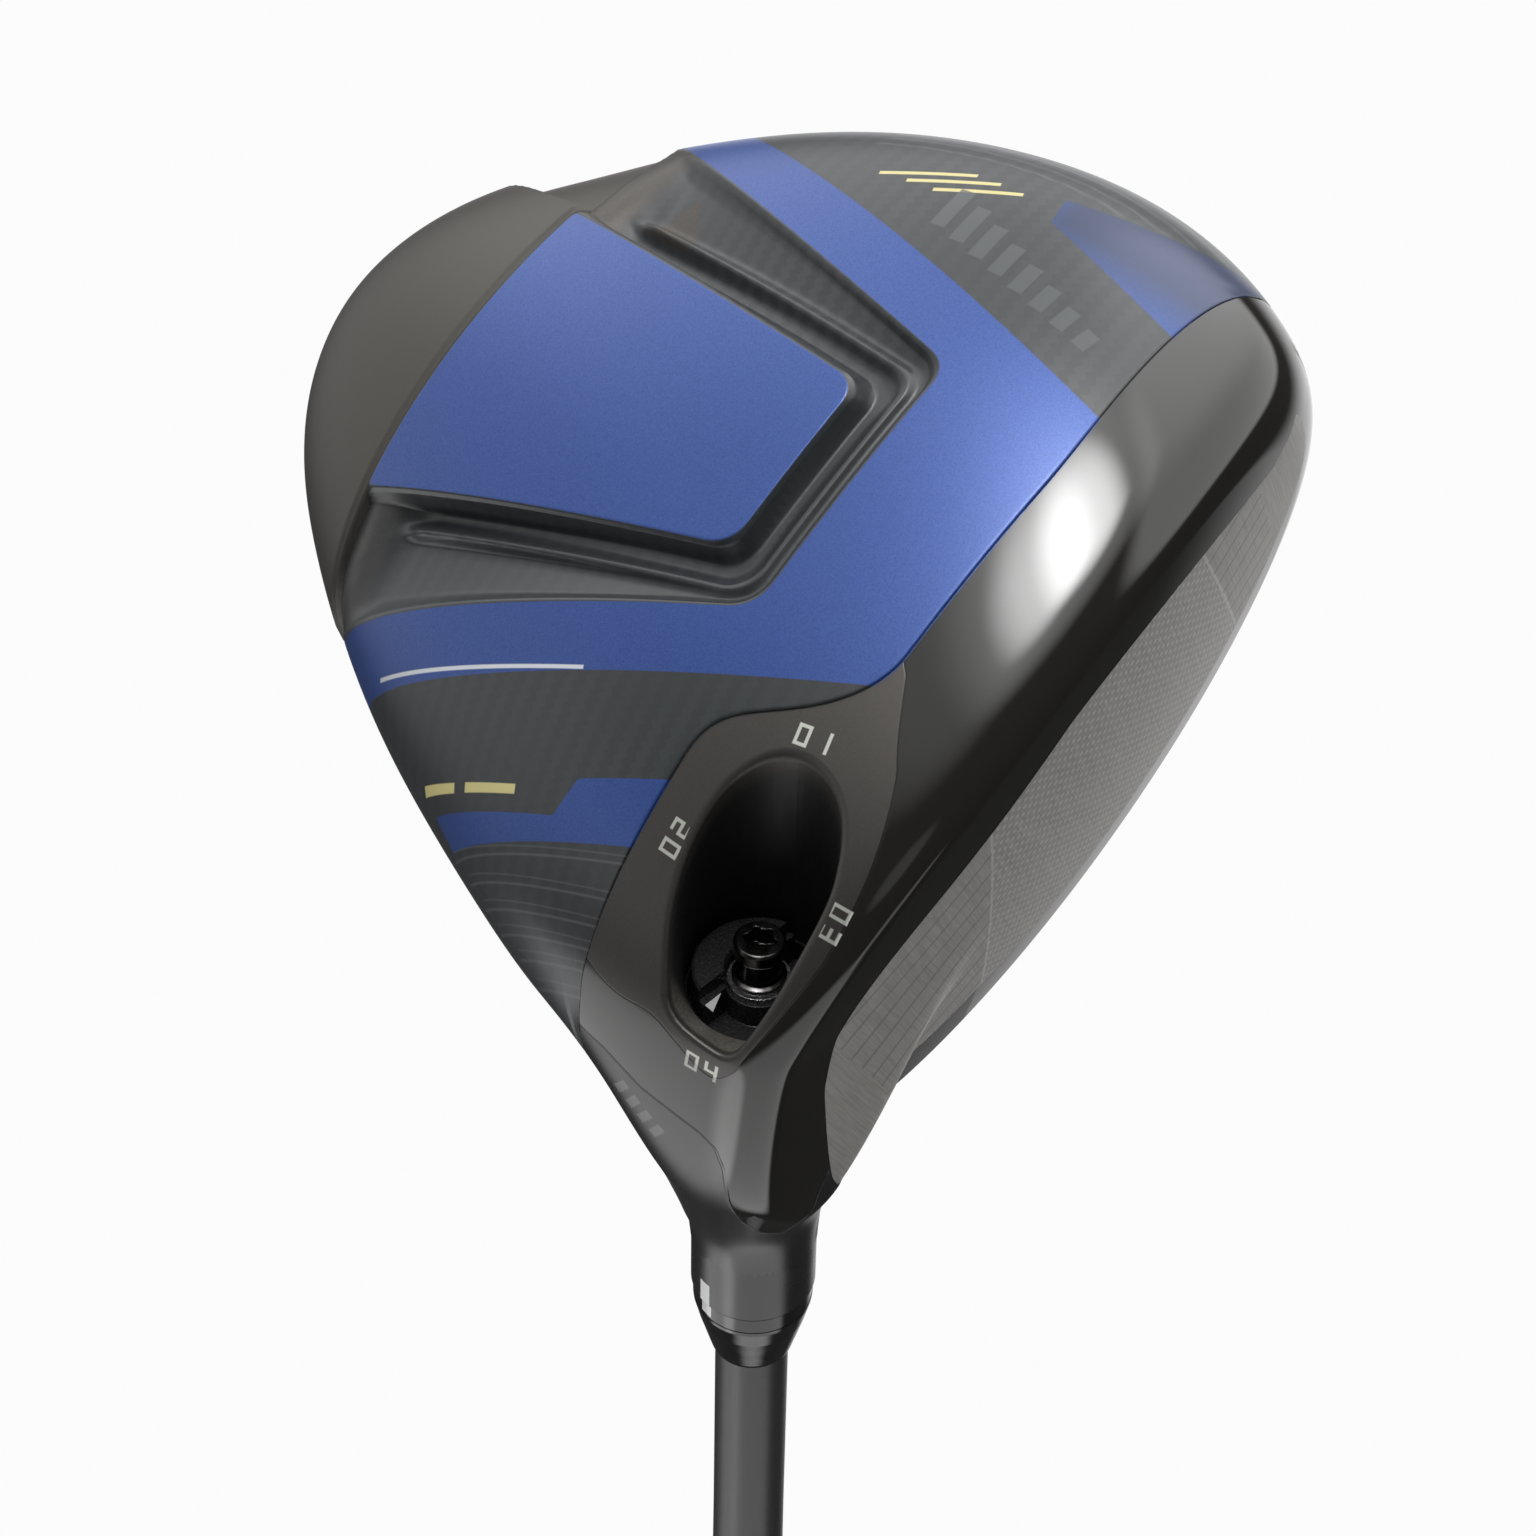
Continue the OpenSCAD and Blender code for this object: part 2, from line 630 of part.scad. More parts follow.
module shaft() {
    color([0.12, 0.12, 0.125])
    lathe([[tip_r - shaft_wall, shaft_s], [tip_r, shaft_s], [tip_r, taper_s],
           [butt_r, butt_taper_s], [butt_r, butt_s], [butt_r - butt_wall, butt_s],
           [butt_r - butt_wall, butt_taper_s], [tip_r - shaft_wall, taper_s]]);
}

module grip_tape() {
    stations = [for (i = [0:grip_steps]) blend(grip_s + 2, butt_s, i / grip_steps)];
    color([0.85, 0.8, 0.65])
    lathe(concat([for (s = stations) [shaft_r(s) + bond_gap, s]],
                 [for (i = [grip_steps:-1:0]) [shaft_r(stations[i]) + 0.22, stations[i]]]));
}

// outside of the grip at part u of its length: long taper, swell at the cap
function grip_r(u) = blend(9.3, 13.1, pow(u, 1.25)) + 0.3 * smooth_step(0.93, 0.995, u);

module grip() {
    steps = 24;
    lip_r = 9.7;
    color([0.05, 0.05, 0.055])
    lathe(concat(
        [[shaft_r(grip_s) + grip_gap, grip_s + 0.01], [9.1, grip_s],
         [lip_r, grip_s + 0.7], [lip_r, grip_s + 3.2]],
        [for (i = [0:steps]) let (u = i / steps) [grip_r(u), blend(grip_s + 4, butt_s, u)]],
        [for (i = [grip_steps:-1:1]) let (s = blend(grip_s, butt_s, i / grip_steps))
            [shaft_r(s) + grip_gap, s]]));
}

module grip_cap() {
    hole_r = 2;
    cap_r = 13.35;
    color([0.06, 0.06, 0.06])
    lathe([[hole_r, butt_s + 0.02], [cap_r, butt_s + 0.02], [cap_r, butt_s + 2.2],
           [12.9, butt_s + 3.8], [11.6, butt_s + 4.8], [10.6, club_len], [hole_r, club_len]]);
}

front_body();
face_plate();
crown_panel();
sole_panel();
rear_weight();
bond_ring();
sound_ribs();
hosel();
screw_port();
adaptor_sleeve();
tip_epoxy();
tip_plug();
ferrule();
shaft();
grip_tape();
grip();
grip_cap();
dial_ring();
dial_pointer();
retaining_screw();
screw_washer();
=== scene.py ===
# A golf driver: hollow head, adjustable neck, shaft and grip.
# x runs from heel to toe, y from back to front (the face is near y = 0), z from sole to crown.
# The design is in millimetres; meshes, floor, lights and camera are in metres.
import math
from functools import partial, reduce

import bpy
import numpy as np
from mathutils import Matrix, Vector


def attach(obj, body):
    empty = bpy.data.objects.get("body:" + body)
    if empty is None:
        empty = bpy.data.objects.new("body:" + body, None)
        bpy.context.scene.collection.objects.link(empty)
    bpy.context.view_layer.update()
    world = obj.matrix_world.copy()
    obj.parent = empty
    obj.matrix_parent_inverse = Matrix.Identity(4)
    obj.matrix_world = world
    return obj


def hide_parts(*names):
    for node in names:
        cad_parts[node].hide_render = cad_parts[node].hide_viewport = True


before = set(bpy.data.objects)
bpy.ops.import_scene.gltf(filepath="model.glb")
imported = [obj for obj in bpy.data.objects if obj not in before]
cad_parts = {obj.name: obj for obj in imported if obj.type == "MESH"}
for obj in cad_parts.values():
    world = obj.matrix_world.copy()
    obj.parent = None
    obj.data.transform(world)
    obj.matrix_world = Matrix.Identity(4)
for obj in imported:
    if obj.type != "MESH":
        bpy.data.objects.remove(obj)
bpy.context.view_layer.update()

# ---------------------------------------------------------------- design values, mm and degrees
LIE, LOFT = 59.0, 10.5
BELT_Z, CROWN_Z = 27.5, 63.5  # heights of the widest section and of the crown
CROWN_LEAN, SOLE_LEAN = 0.136, 0.118  # gain in height towards the front
FULLNESS = 2.3  # exponent of the side profile, 2 is an ellipse
CENTRE_X, CENTRE_Y = 2.0, -52.0  # middle of the plan outline
# plan control radii, every 30 degrees from the toe round by the face
PLAN_RADII = np.array([56, 65.5, 66.5, 72.5, 78, 63.5, 48, 46.5, 53, 71.5, 54.5, 52])
EDGE_SOFT, FACE_RADIUS, FACE_MID_Z = 7.0, 300.0, 28
AXIS_FOOT = np.array([-24.0, -18.0, 0.0])  # foot of the shaft axis
COS_LIE, SIN_LIE = math.cos(math.radians(LIE)), math.sin(math.radians(LIE))
UPSHAFT = np.array([-COS_LIE, 0.0, SIN_LIE])
HEELWARD = np.array([-SIN_LIE, 0.0, -COS_LIE])
FORWARD = np.array([0.0, 1.0, 0.0])
NECK_R, MOUTH = 7.2, 74.2  # tube radius; distance of its mouth up the axis
WEIGHT_SEAM = -90.0
SOLE_SEAM, HEEL_DROP, CROWN_SEAM, CROWN_DROP = 17.0, 14.5, 14.0, 22.0
CHANNEL_DEPTH, ISLAND_RISE = 2.2, 0.5
LIP_W = 0.9  # width of the rolled lip of the screw recess
SEAT_R, SEAT_UP = 7.95, 24.48  # dial seat: radius and distance up the axis


# ---------------------------------------------------------------- head surface
# A point of the head has a turn (plan angle from the toe round by the face) and a rise
# (-90 at the sole's middle, 0 on the belt, 90 at the crown's middle).
def step(start, end, value):
    """Smooth step from 0 at start to 1 at end."""
    t = np.clip((value - start) / (end - start), 0, 1)
    return t * t * (3 - 2 * t)


def smooth_min(first, second, soft):
    h = np.clip(0.5 + 0.5 * (second - first) / soft, 0, 1)
    return second * (1 - h) + first * h - soft * h * (1 - h)


def smooth_max(first, second, soft):
    return -smooth_min(-first, -second, soft)


def sin_deg(angle):
    return np.sin(np.radians(angle))


def cos_deg(angle):
    return np.cos(np.radians(angle))


def unit(vectors):
    return vectors / np.maximum(np.linalg.norm(vectors, axis=-1, keepdims=True), 1e-9)


def plan_radius(turn):
    """Closed cubic B-spline through the plan control radii."""
    place = np.mod(turn, 360) / 30.0
    i = np.floor(place).astype(int) % 12
    t = place - np.floor(place)
    before, here, after, last = (PLAN_RADII[(i + k) % 12] for k in (11, 0, 1, 2))
    return ((1 - t) ** 3 * before + (3 * t**3 - 6 * t**2 + 4) * here
            + (-3 * t**3 + 3 * t**2 + 3 * t + 1) * after + t**3 * last) / 6


_reach = np.arange(61) / 60.0
# greatest height factor of the leaning sole, so that its lowest point lies on z = 0
SOLE_NORM = float(((1 - _reach**FULLNESS) ** (1 / FULLNESS) * (1 + SOLE_LEAN * _reach)).max())


def face_y(x, z):
    """Lofted face with bulge and roll."""
    return (-z * math.tan(math.radians(LOFT)) - x * x / (2 * FACE_RADIUS)
            - (z - FACE_MID_Z) ** 2 / (2 * FACE_RADIUS))


def to_axis(points):
    """Coordinates about the shaft axis: towards the heel, forward, up the axis."""
    arm = points - AXIS_FOOT
    return arm @ HEELWARD, arm @ FORWARD, arm @ UPSHAFT


def from_axis(heelward, forward, up):
    parts = zip((heelward, forward, up), (HEELWARD, FORWARD, UPSHAFT))
    return AXIS_FOOT + sum(np.asarray(size)[..., None] * way for size, way in parts)


def flare(gap, heel):
    """Distance up the neck at which its flare stands gap outside the tube.

    heel is 1 on the heel side and 0 on the face side."""
    return (heel * (24 + 38 * np.exp(-((gap / 9.6) ** 1.15))) + (1 - heel) * (57.9 - 1.7 * gap)
            + 8.0 * np.exp(-gap / 0.25) + 2.5 * np.exp(-gap))


def heel_share(heelward, forward, radius):
    return 0.5 + 0.5 * (heelward - forward) / (math.sqrt(2) * radius)


def draw_neck(points):
    """Pull the skin near the axis up into the flared neck."""
    heelward, forward, up = to_axis(points)
    radius = np.hypot(heelward, forward) + 0.001
    target = flare(np.maximum(0, radius - NECK_R), heel_share(heelward, forward, radius))
    lift = step(22, 36, up) * (smooth_max(up, target, 6) - up)
    return points + UPSHAFT * lift[..., None]


def head_point(turn, rise):
    above_belt = rise > 0
    height = np.abs(sin_deg(rise)) ** (2 / FULLNESS)
    radius = plan_radius(turn) * np.abs(cos_deg(rise)) ** (2 / FULLNESS)
    x, y = CENTRE_X + radius * cos_deg(turn), CENTRE_Y + radius * sin_deg(turn)
    lean = 1 + np.where(above_belt, CROWN_LEAN, SOLE_LEAN) * (y - CENTRE_Y) / 60
    z = np.where(above_belt, BELT_Z + (CROWN_Z - BELT_Z) * height * lean,
                 BELT_Z * (1 - height * lean / SOLE_NORM))
    return draw_neck(np.stack([x, smooth_min(y, face_y(x, z), EDGE_SOFT), z], -1))


def head_normal(turn, rise):
    tiny = 0.25
    rise = np.clip(rise, -89.2, 89.2)
    return unit(np.cross(head_point(turn + tiny, rise) - head_point(turn - tiny, rise),
                         head_point(turn, rise + tiny) - head_point(turn, rise - tiny)))


# ---------------------------------------------------------------- seams
def rise_at(turn, y):
    """Rise at which a column crosses the plane y, or 0 where it doesn't."""
    share = (y - CENTRE_Y) / (plan_radius(turn) * sin_deg(turn) + 1e-12)
    rise = np.degrees(np.arccos(np.clip(share, 0, 1) ** (FULLNESS / 2)))
    return np.where((share >= 1) | (share <= 0), 0.0, rise)


def sole_seam(turn):
    """Rise of the sole's edge, below the face in front and along the weight behind."""
    front_y = -SOLE_SEAM - HEEL_DROP * step(94, 140, turn) - 3 * step(60, 20, turn)
    return -np.maximum(1.5, rise_at(turn, np.where(turn < 180, front_y, WEIGHT_SEAM)))


def crown_seam(turn):
    """Rise of the crown's edge."""
    front_y = -CROWN_SEAM - CROWN_DROP * step(108, 140, turn)
    return np.where(turn < 180, np.maximum(-1.0, rise_at(turn, front_y) - 1.5), -1.0)


def face_width(turn):
    """1 in the middle of the face plate, 0 past its ends."""
    end = np.where(turn < 88, (88 - turn) / 43, (turn - 88) / 36)
    return np.where(end >= 1, 0.0, (1 - np.clip(end, 0, 1) ** 2.6) ** 0.55)


def face_bottom(turn):
    """Lower edge of the face plate as a share of the column."""
    toe, heel = (88 - turn) / 34.8, np.clip((turn - 88) / 36, 0, 1)
    return np.where(turn < 88, 0.31 + 0.19 * np.clip(toe, 0, 1) ** 1.6,
                    0.31 + 0.07 * heel + 0.07 * heel**8)


def sole_angles(x, y):
    """Turn and rise of the sole point with plan place x, y."""
    dx, dy = x - CENTRE_X, y - CENTRE_Y
    turn = np.degrees(np.arctan2(dy, dx))
    share = np.minimum(0.99999, np.hypot(dx, dy) / plan_radius(turn))
    return turn, -np.degrees(np.arccos(share ** (FULLNESS / 2)))


# ---------------------------------------------------------------- regions
# Each gives a signed distance in mm, negative inside. Points are plan x, y.
TOE_PATCH = [(49.0, -39.0), (52.6, -40.6), (58.0, -20.0), (44.6, -17.5)]
HEEL_PATCH = [(-42.6, -60.7), (-35.3, -42.4), (-30.6, -41.5), (-25.2, -31.4), (-22.5, -27.0),
              (-31.0, -26.5), (-44.6, -56.6)]
FACET = [(31.9, -78.6), (24.7, -73.0), (24.7, -81.2)]


def line(x, y, start, end):
    """Distance to the right of the line from start to end, seen from above."""
    dx, dy = end[0] - start[0], end[1] - start[1]
    return ((x - start[0]) * dy - (y - start[1]) * dx) / math.hypot(dx, dy)


def island(x, y):
    """Raised wedge in the middle of the sole."""
    toe = line(x, y, (22.4, -90), (21.3, -41))
    heel = -line(x, y, (-17.4, -90), (-1.4, -41))
    side = smooth_max(y + 41.0, smooth_max(toe, heel, 0.5), 3.2)
    return smooth_max(side, -(y + 89.6), 0.8)


def channel(x, y):
    """Outer edge of the channel round the island."""
    toe = line(x, y, (36.0, -84), (28.2, -34.5))
    heel = -line(x, y, (-31.0, -84), (-5.2, -34.5))
    return smooth_max(y + 34.5, smooth_max(toe, heel, 0.5), 3.0)


def chevron(x, y):
    """Blue band round the channel: outside the channel, inside the two long edges."""
    bow = 0.8 * np.sin(np.pi * np.clip((y + 78) / 61, 0, 1))
    toe = line(x, y, (41.6, -78), (32.2, -17)) - bow
    heel = -line(x, y, (-36.6, -78), (-4.9, -17.6))
    return smooth_max(smooth_max(toe, heel, 0.2), -channel(x, y), 0.2)


def path_gap(x, y, path):
    """Distance to an open path."""
    best = np.full(x.shape, 1e9)
    for (x0, y0), (x1, y1) in zip(path, path[1:]):
        dx, dy = x1 - x0, y1 - y0
        part = np.clip(((x - x0) * dx + (y - y0) * dy) / (dx * dx + dy * dy), 0, 1)
        best = np.minimum(best, np.hypot(x - x0 - part * dx, y - y0 - part * dy))
    return best


def outline_gap(x, y, outline):
    """Signed distance to a closed outline."""
    path = outline + outline[:1]
    held = np.zeros(x.shape, bool)
    for (x0, y0), (x1, y1) in zip(path, path[1:]):
        slope = (x1 - x0) / ((y1 - y0) or 1e-12)
        held ^= ((y0 > y) != (y1 > y)) & (x < x0 + (y - y0) * slope)
    gap = path_gap(x, y, path)
    return np.where(held, -gap, gap)


def soften(outline):
    """Cut the corners of a closed outline twice."""
    for _ in range(2):
        outline = [(near * x0 + (1 - near) * x1, near * y0 + (1 - near) * y1)
                   for (x0, y0), (x1, y1) in zip(outline, outline[1:] + outline[:1])
                   for near in (0.75, 0.25)]
    return outline


# The screw recess is laid out in its own slanted plane, in coordinates about the shaft axis.
PLANE_ORIGIN = np.array([2.0, 1.0, 9.0])
PLANE_X, PLANE_Y = np.array([0.6307, 0.1600, 0.7593]), np.array([-0.2255, 0.9741, -0.0180])
# edge of the recess, plane x and y
LIP = soften([
    (-16.3, -1.0), (-14.6, -4.4), (-10.6, -7.2), (-5.2, -8.3), (0.0, -8.4), (5.0, -7.8),
    (10.0, -6.5), (14.6, -5.3), (16.4, 1.0), (16.2, 3.2), (13.2, 4.7), (9.7, 5.9), (6.7, 6.7),
    (3.6, 7.3), (0.7, 7.8), (-2.4, 8.2), (-5.4, 8.3), (-9.8, 7.4), (-13.2, 5.7), (-15.6, 2.6)])
# edge of the satin paint round it, plane x and y
SATIN = soften([
    (-30.0, 5.6), (-24.0, 7.6), (-20.6, 8.8), (-17.2, 10.4), (-10.0, 11.5), (-3.5, 11.3),
    (3.0, 10.2), (8.7, 7.9), (12.8, 6.2), (16.0, 4.6), (17.8, 3.8), (19.8, 1.3), (18.6, -1.5),
    (17.0, -4.0), (15.2, -7.3), (15.3, -11.3), (14.3, -14.5), (12.6, -17.2), (9.0, -22.0),
    (-10.0, -22.0), (-34.0, -6.0)])
# start of the neck's satin paint: degrees round the axis, distance up it
NECK_LINE = np.array([
    (-180, 40), (-120, 33), (-60, 29.3), (-35, 30.6), (-17, 32.9), (0, 33.8), (15, 34.8),
    (24, 36.4), (28, 39.5), (30, 46.0), (36, 51.2), (47, 54.8), (63, 56.1), (77, 53.8),
    (86, 50.6), (96, 47.7), (107, 45.2), (117, 42.7), (150, 41), (180, 40)], float)


def recess_plane(heelward, forward, up):
    arm = np.stack([heelward, forward, up], -1) - PLANE_ORIGIN
    return arm @ PLANE_X, arm @ PLANE_Y


def neck_gap(heelward, forward, up):
    """Distance to NECK_LINE on the neck unrolled at 10 mm radius, positive up the neck."""
    angle = np.degrees(np.arctan2(forward, heelward))
    degrees, heights = NECK_LINE.T
    path = list(zip(10.0 * np.radians(degrees), heights))
    gap = path_gap(10.0 * np.radians(angle), up, path)
    return np.where(up > np.interp(angle, degrees, heights), gap, -gap)


def blue_area(x, y):
    return reduce(np.minimum, [island(x, y) + 0.25, chevron(x, y),
                               outline_gap(x, y, TOE_PATCH), outline_gap(x, y, HEEL_PATCH)])


def sole_depth(x, y):
    """Depth of the sole below the plain head surface; the island is raised."""
    inner, outer = island(x, y), -channel(x, y)
    width = np.maximum(inner + outer, 0.5)
    deep = CHANNEL_DEPTH * (1 + 0.75 * step(-46, -80, y))
    floor_w = np.minimum(4.0, 0.62 * width)
    tail = np.clip(outer / np.maximum(width - floor_w, 0.3), 0, 1)
    climb = np.where(inner < floor_w, 1.0, 0.80 * tail**0.75 + 0.20 * step(0, 0.25, tail))
    depth = deep * step(0.0, 1.5, inner) * climb
    ridge = np.exp(-(((inner - floor_w) / 0.85) ** 2))
    depth = depth - 0.55 * deep * ridge * step(-86, -80, y) * step(0.4, 1.6, outer)
    depth = np.where((inner > 0) & (outer > 0), depth, 0.0)
    depth = depth * (0.30 + 0.70 * step(-88.0, -81.6, y)) * step(0.0, 1.2, outer)
    top = -ISLAND_RISE * step(0.35, -0.35, inner)
    return np.where(inner < 0.35, top, depth + top)


# ---------------------------------------------------------------- mesh tools
def grid_faces(columns, rows, wrap=False):
    i, j = np.meshgrid(np.arange(columns if wrap else columns - 1), np.arange(rows - 1),
                       indexing="ij")
    after = (i + 1) % columns
    corners = [i * rows + j, after * rows + j, after * rows + j + 1, i * rows + j + 1]
    return np.stack(corners, -1).reshape(-1, 4).tolist()


def wind_outward(points, normals, faces):
    """Reverse all faces if a sample face looks inward."""
    points, normals = points.reshape(-1, 3), normals.reshape(-1, 3)
    first, second, third = faces[len(faces) // 3][:3]
    across = np.cross(points[second] - points[first], points[third] - points[first])
    if np.dot(across, normals[first]) < 0:
        return [list(reversed(face)) for face in faces]
    return faces


def clip(points, normals, faces, keep, values):
    """Cut away the mesh where keep < 0. Points on the cut are shared, so the edge is exact."""
    layers = [list(layer) for layer in (points, normals, keep, *values)]
    keep = layers[2]
    out, made = [], {}
    for face in faces:
        if all(keep[v] >= 0 for v in face):
            out.append(list(face))
            continue
        if not any(keep[v] >= 0 for v in face):
            continue
        ring = []
        for here, after in zip(face, face[1:] + face[:1]):
            if keep[here] >= 0:
                ring.append(here)
            if (keep[here] >= 0) != (keep[after] >= 0):
                key = (min(here, after), max(here, after))
                if key not in made:
                    t = keep[here] / (keep[here] - keep[after])
                    for layer in layers:
                        layer.append(layer[here] + t * (layer[after] - layer[here]))
                    keep[-1] = 0.0
                    made[key] = len(keep) - 1
                ring.append(made[key])
        ring = [v for k, v in enumerate(ring) if v != ring[k - 1]]
        if len(ring) >= 3:
            out.append(ring)
    used = np.zeros(len(keep), bool)
    for face in out:
        used[face] = True
    index = np.cumsum(used) - 1
    out = [[int(index[v]) for v in face] for face in out]
    points, normals, _, *values = (np.array(layer)[used] for layer in layers)
    return points, unit(normals), out, values


def boundary_loops(faces):
    edges = {}
    for face in faces:
        for here, after in zip(face, face[1:] + face[:1]):
            if (after, here) in edges:
                del edges[(after, here)]
            else:
                edges[(here, after)] = True
    following = {}
    for here, after in edges:
        following.setdefault(here, []).append(after)
    loops = []
    while following:
        start = next(iter(following))
        loop = [start]
        while True:
            after = following[loop[-1]].pop()
            if not following[loop[-1]]:
                del following[loop[-1]]
            if after == start:
                break
            loop.append(after)
        loops.append(loop)
    return loops


def thicken(points, normals, faces, depth):
    """Closed shell: an inner copy below the skin and a wall round every open edge."""
    count = len(points)
    out = [list(face) for face in faces] + [[v + count for v in reversed(face)] for face in faces]
    for loop in boundary_loops(faces):
        for here, after in zip(loop, loop[1:] + loop[:1]):
            out.append([after, here, here + count, after + count])
    return np.vstack([points, points - normals * depth]), np.vstack([normals, -normals]), out


def add_shell(name, points, normals, faces, depth, paint, stands_for, slot, **attributes):
    """Thicken a skin inward, make it part of the head and let it stand for a CAD piece."""
    points, normals, faces = thicken(points.reshape(-1, 3), normals.reshape(-1, 3), faces, depth)
    mesh = bpy.data.meshes.new(name)
    mesh.from_pydata((points / 1000.0).tolist(), [], faces)
    mesh.validate()
    for key, values in attributes.items():
        layer = mesh.attributes.new(key, "FLOAT", "POINT")
        layer.data.foreach_set("value", np.tile(values.reshape(-1), 2).astype(np.float32))
    mesh.polygons.foreach_set("use_smooth", [True] * len(mesh.polygons))
    piece = bpy.data.objects.new(name, mesh)
    bpy.context.scene.collection.objects.link(piece)
    mesh.materials.append(MATERIAL[paint])
    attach(piece, "head")
    mesh.normals_split_custom_set_from_vertices([tuple(normal) for normal in normals.tolist()])
    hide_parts(stands_for)


# ---------------------------------------------------------------- shader node tools
# Each function adds nodes to the current tree and returns an output socket.
tree = None


def start_tree(owner):
    """Empty the owner's node tree and make it the current one."""
    global tree
    owner.use_nodes = True
    tree = owner.node_tree
    tree.nodes.clear()


def node(kind, **settings):
    new = tree.nodes.new(kind)
    for key, value in settings.items():
        setattr(new, key, value)
    return new


def put(socket, value):
    """Link a socket to the input, or set the input's value."""
    if isinstance(value, bpy.types.NodeSocket):
        tree.links.new(value, socket)
    elif isinstance(value, tuple) and socket.type == "RGBA":
        socket.default_value = (*value, 1.0)
    else:
        socket.default_value = value


def fill(new, *values):
    for socket, value in zip(new.inputs, values):
        put(socket, value)
    return new


def shader(kind, *values):
    return fill(node(kind), *values).outputs[0]


def calc(operation, *values):
    return fill(node("ShaderNodeMath", operation=operation), *values, 0.0, 0.0).outputs[0]


add, sub, mul = partial(calc, "ADD"), partial(calc, "SUBTRACT"), partial(calc, "MULTIPLY")
mul_add = partial(calc, "MULTIPLY_ADD")
larger, smaller = partial(calc, "MAXIMUM"), partial(calc, "MINIMUM")
above, below = partial(calc, "GREATER_THAN"), partial(calc, "LESS_THAN")
absolute, whole, fract = partial(calc, "ABSOLUTE"), partial(calc, "FLOOR"), partial(calc, "FRACT")
invert = partial(calc, "SUBTRACT", 1.0)


def away(value, centre):
    return absolute(sub(value, centre))


def cell_gap(value):
    """Distance from the middle of each unit cell."""
    return away(fract(value), 0.5)


def vector(operation, *values):
    return fill(node("ShaderNodeVectorMath", operation=operation), *values).outputs["Value"]


def ramp(value, start, end, low=0.0, high=1.0, kind="LINEAR"):
    """low at start, high at end, clamped."""
    new = node("ShaderNodeMapRange", clamp=True, interpolation_type=kind)
    return fill(new, value, start, end, low, high).outputs[0]


def spread(value, low, high):
    """Spread the middle of a noise from low to high."""
    return ramp(value, 0.3, 0.7, low, high)


def inside(gap, soft):
    """1 where a signed distance is negative."""
    return ramp(gap, soft, -soft)


def mix(factor, first, second):
    """Mix two colours."""
    new = node("ShaderNodeMix", data_type="RGBA")
    for index, value in ((0, factor), (6, first), (7, second)):
        put(new.inputs[index], value)
    return new.outputs[2]


def blend(factor, first, second):
    """Mix two numbers."""
    new = node("ShaderNodeMix", data_type="FLOAT")
    for index, value in ((0, factor), (2, first), (3, second)):
        put(new.inputs[index], value)
    return new.outputs[0]


def attribute(name):
    return node("ShaderNodeAttribute", attribute_name=name).outputs["Fac"]


def coordinates():
    return node("ShaderNodeTexCoord").outputs["Object"]


def noise(scale, detail=2.0, rough=0.5, place=None):
    new = node("ShaderNodeTexNoise")
    put(new.inputs["Scale"], scale)
    put(new.inputs["Detail"], detail)
    put(new.inputs["Roughness"], rough)
    put(new.inputs["Vector"], place or coordinates())
    return new.outputs["Fac"]


def stretched(scales, detail=4.0, rough=0.6):
    """Noise with its own scale along x, y and z."""
    mapping = node("ShaderNodeMapping")
    put(mapping.inputs[0], coordinates())
    put(mapping.inputs["Scale"], scales)
    return noise(1.0, detail, rough, mapping.outputs[0])


def voronoi(scale, output):
    new = node("ShaderNodeTexVoronoi")
    put(new.inputs["Scale"], scale)
    put(new.inputs["Vector"], coordinates())
    return new.outputs[output]


def bump(height, strength, depth, normal=None):
    """depth is in metres."""
    new = node("ShaderNodeBump")
    put(new.inputs["Height"], height)
    put(new.inputs["Strength"], strength)
    put(new.inputs["Distance"], depth)
    if normal is not None:
        put(new.inputs["Normal"], normal)
    return new.outputs[0]


def along(direction, origin=0.0):
    """Object coordinate in mm along a direction."""
    scaled = tuple(float(1000 * part) for part in direction)
    return sub(vector("DOT_PRODUCT", coordinates(), scaled), float(origin))


def along_axis(direction):
    """The same, measured from the foot of the shaft axis."""
    return along(direction, AXIS_FOOT @ direction)


def box(x, y, centre_x, centre_y, half_x, half_y, ring=None):
    """Distance outside a box, or outside its outline of half width ring."""
    gap = larger(sub(away(x, centre_x), half_x), sub(away(y, centre_y), half_y))
    return sub(absolute(gap), ring) if ring else gap


def near(centre, reach):
    """1 within reach mm of a point."""
    place = tuple(float(part) / 1000 for part in centre)
    return below(vector("DISTANCE", coordinates(), place), reach / 1000)


def stroke(x, y, start, end, half, soft=0.06):
    """A straight painted stroke of a half width."""
    length = math.dist(start, end)
    dx, dy = (end[0] - start[0]) / length, (end[1] - start[1]) / length
    on_line = mul_add(x, dx, mul_add(y, dy, -(start[0] * dx + start[1] * dy)))
    off_line = mul_add(x, dy, mul_add(y, -dx, -(start[0] * dy - start[1] * dx)))
    past_end = sub(away(on_line, length / 2), length / 2)
    return inside(larger(sub(absolute(off_line), half), past_end), soft)


def weave(pitch=0.0009, angle=38.0):
    """Over-under cells of a 2/2 twill, in plan; pitch in metres."""
    split = fill(node("ShaderNodeSeparateXYZ"), coordinates())
    x, y = split.outputs[:2]
    cos, sin = math.cos(math.radians(angle)), math.sin(math.radians(angle))
    warp = add(mul(x, cos / pitch), mul(y, sin / pitch))
    weft = add(mul(x, -sin / pitch), mul(y, cos / pitch))
    # 4000 keeps the remainder positive
    return above(calc("MODULO", add(add(whole(warp), whole(weft)), 4000.0), 4.0), 1.5)


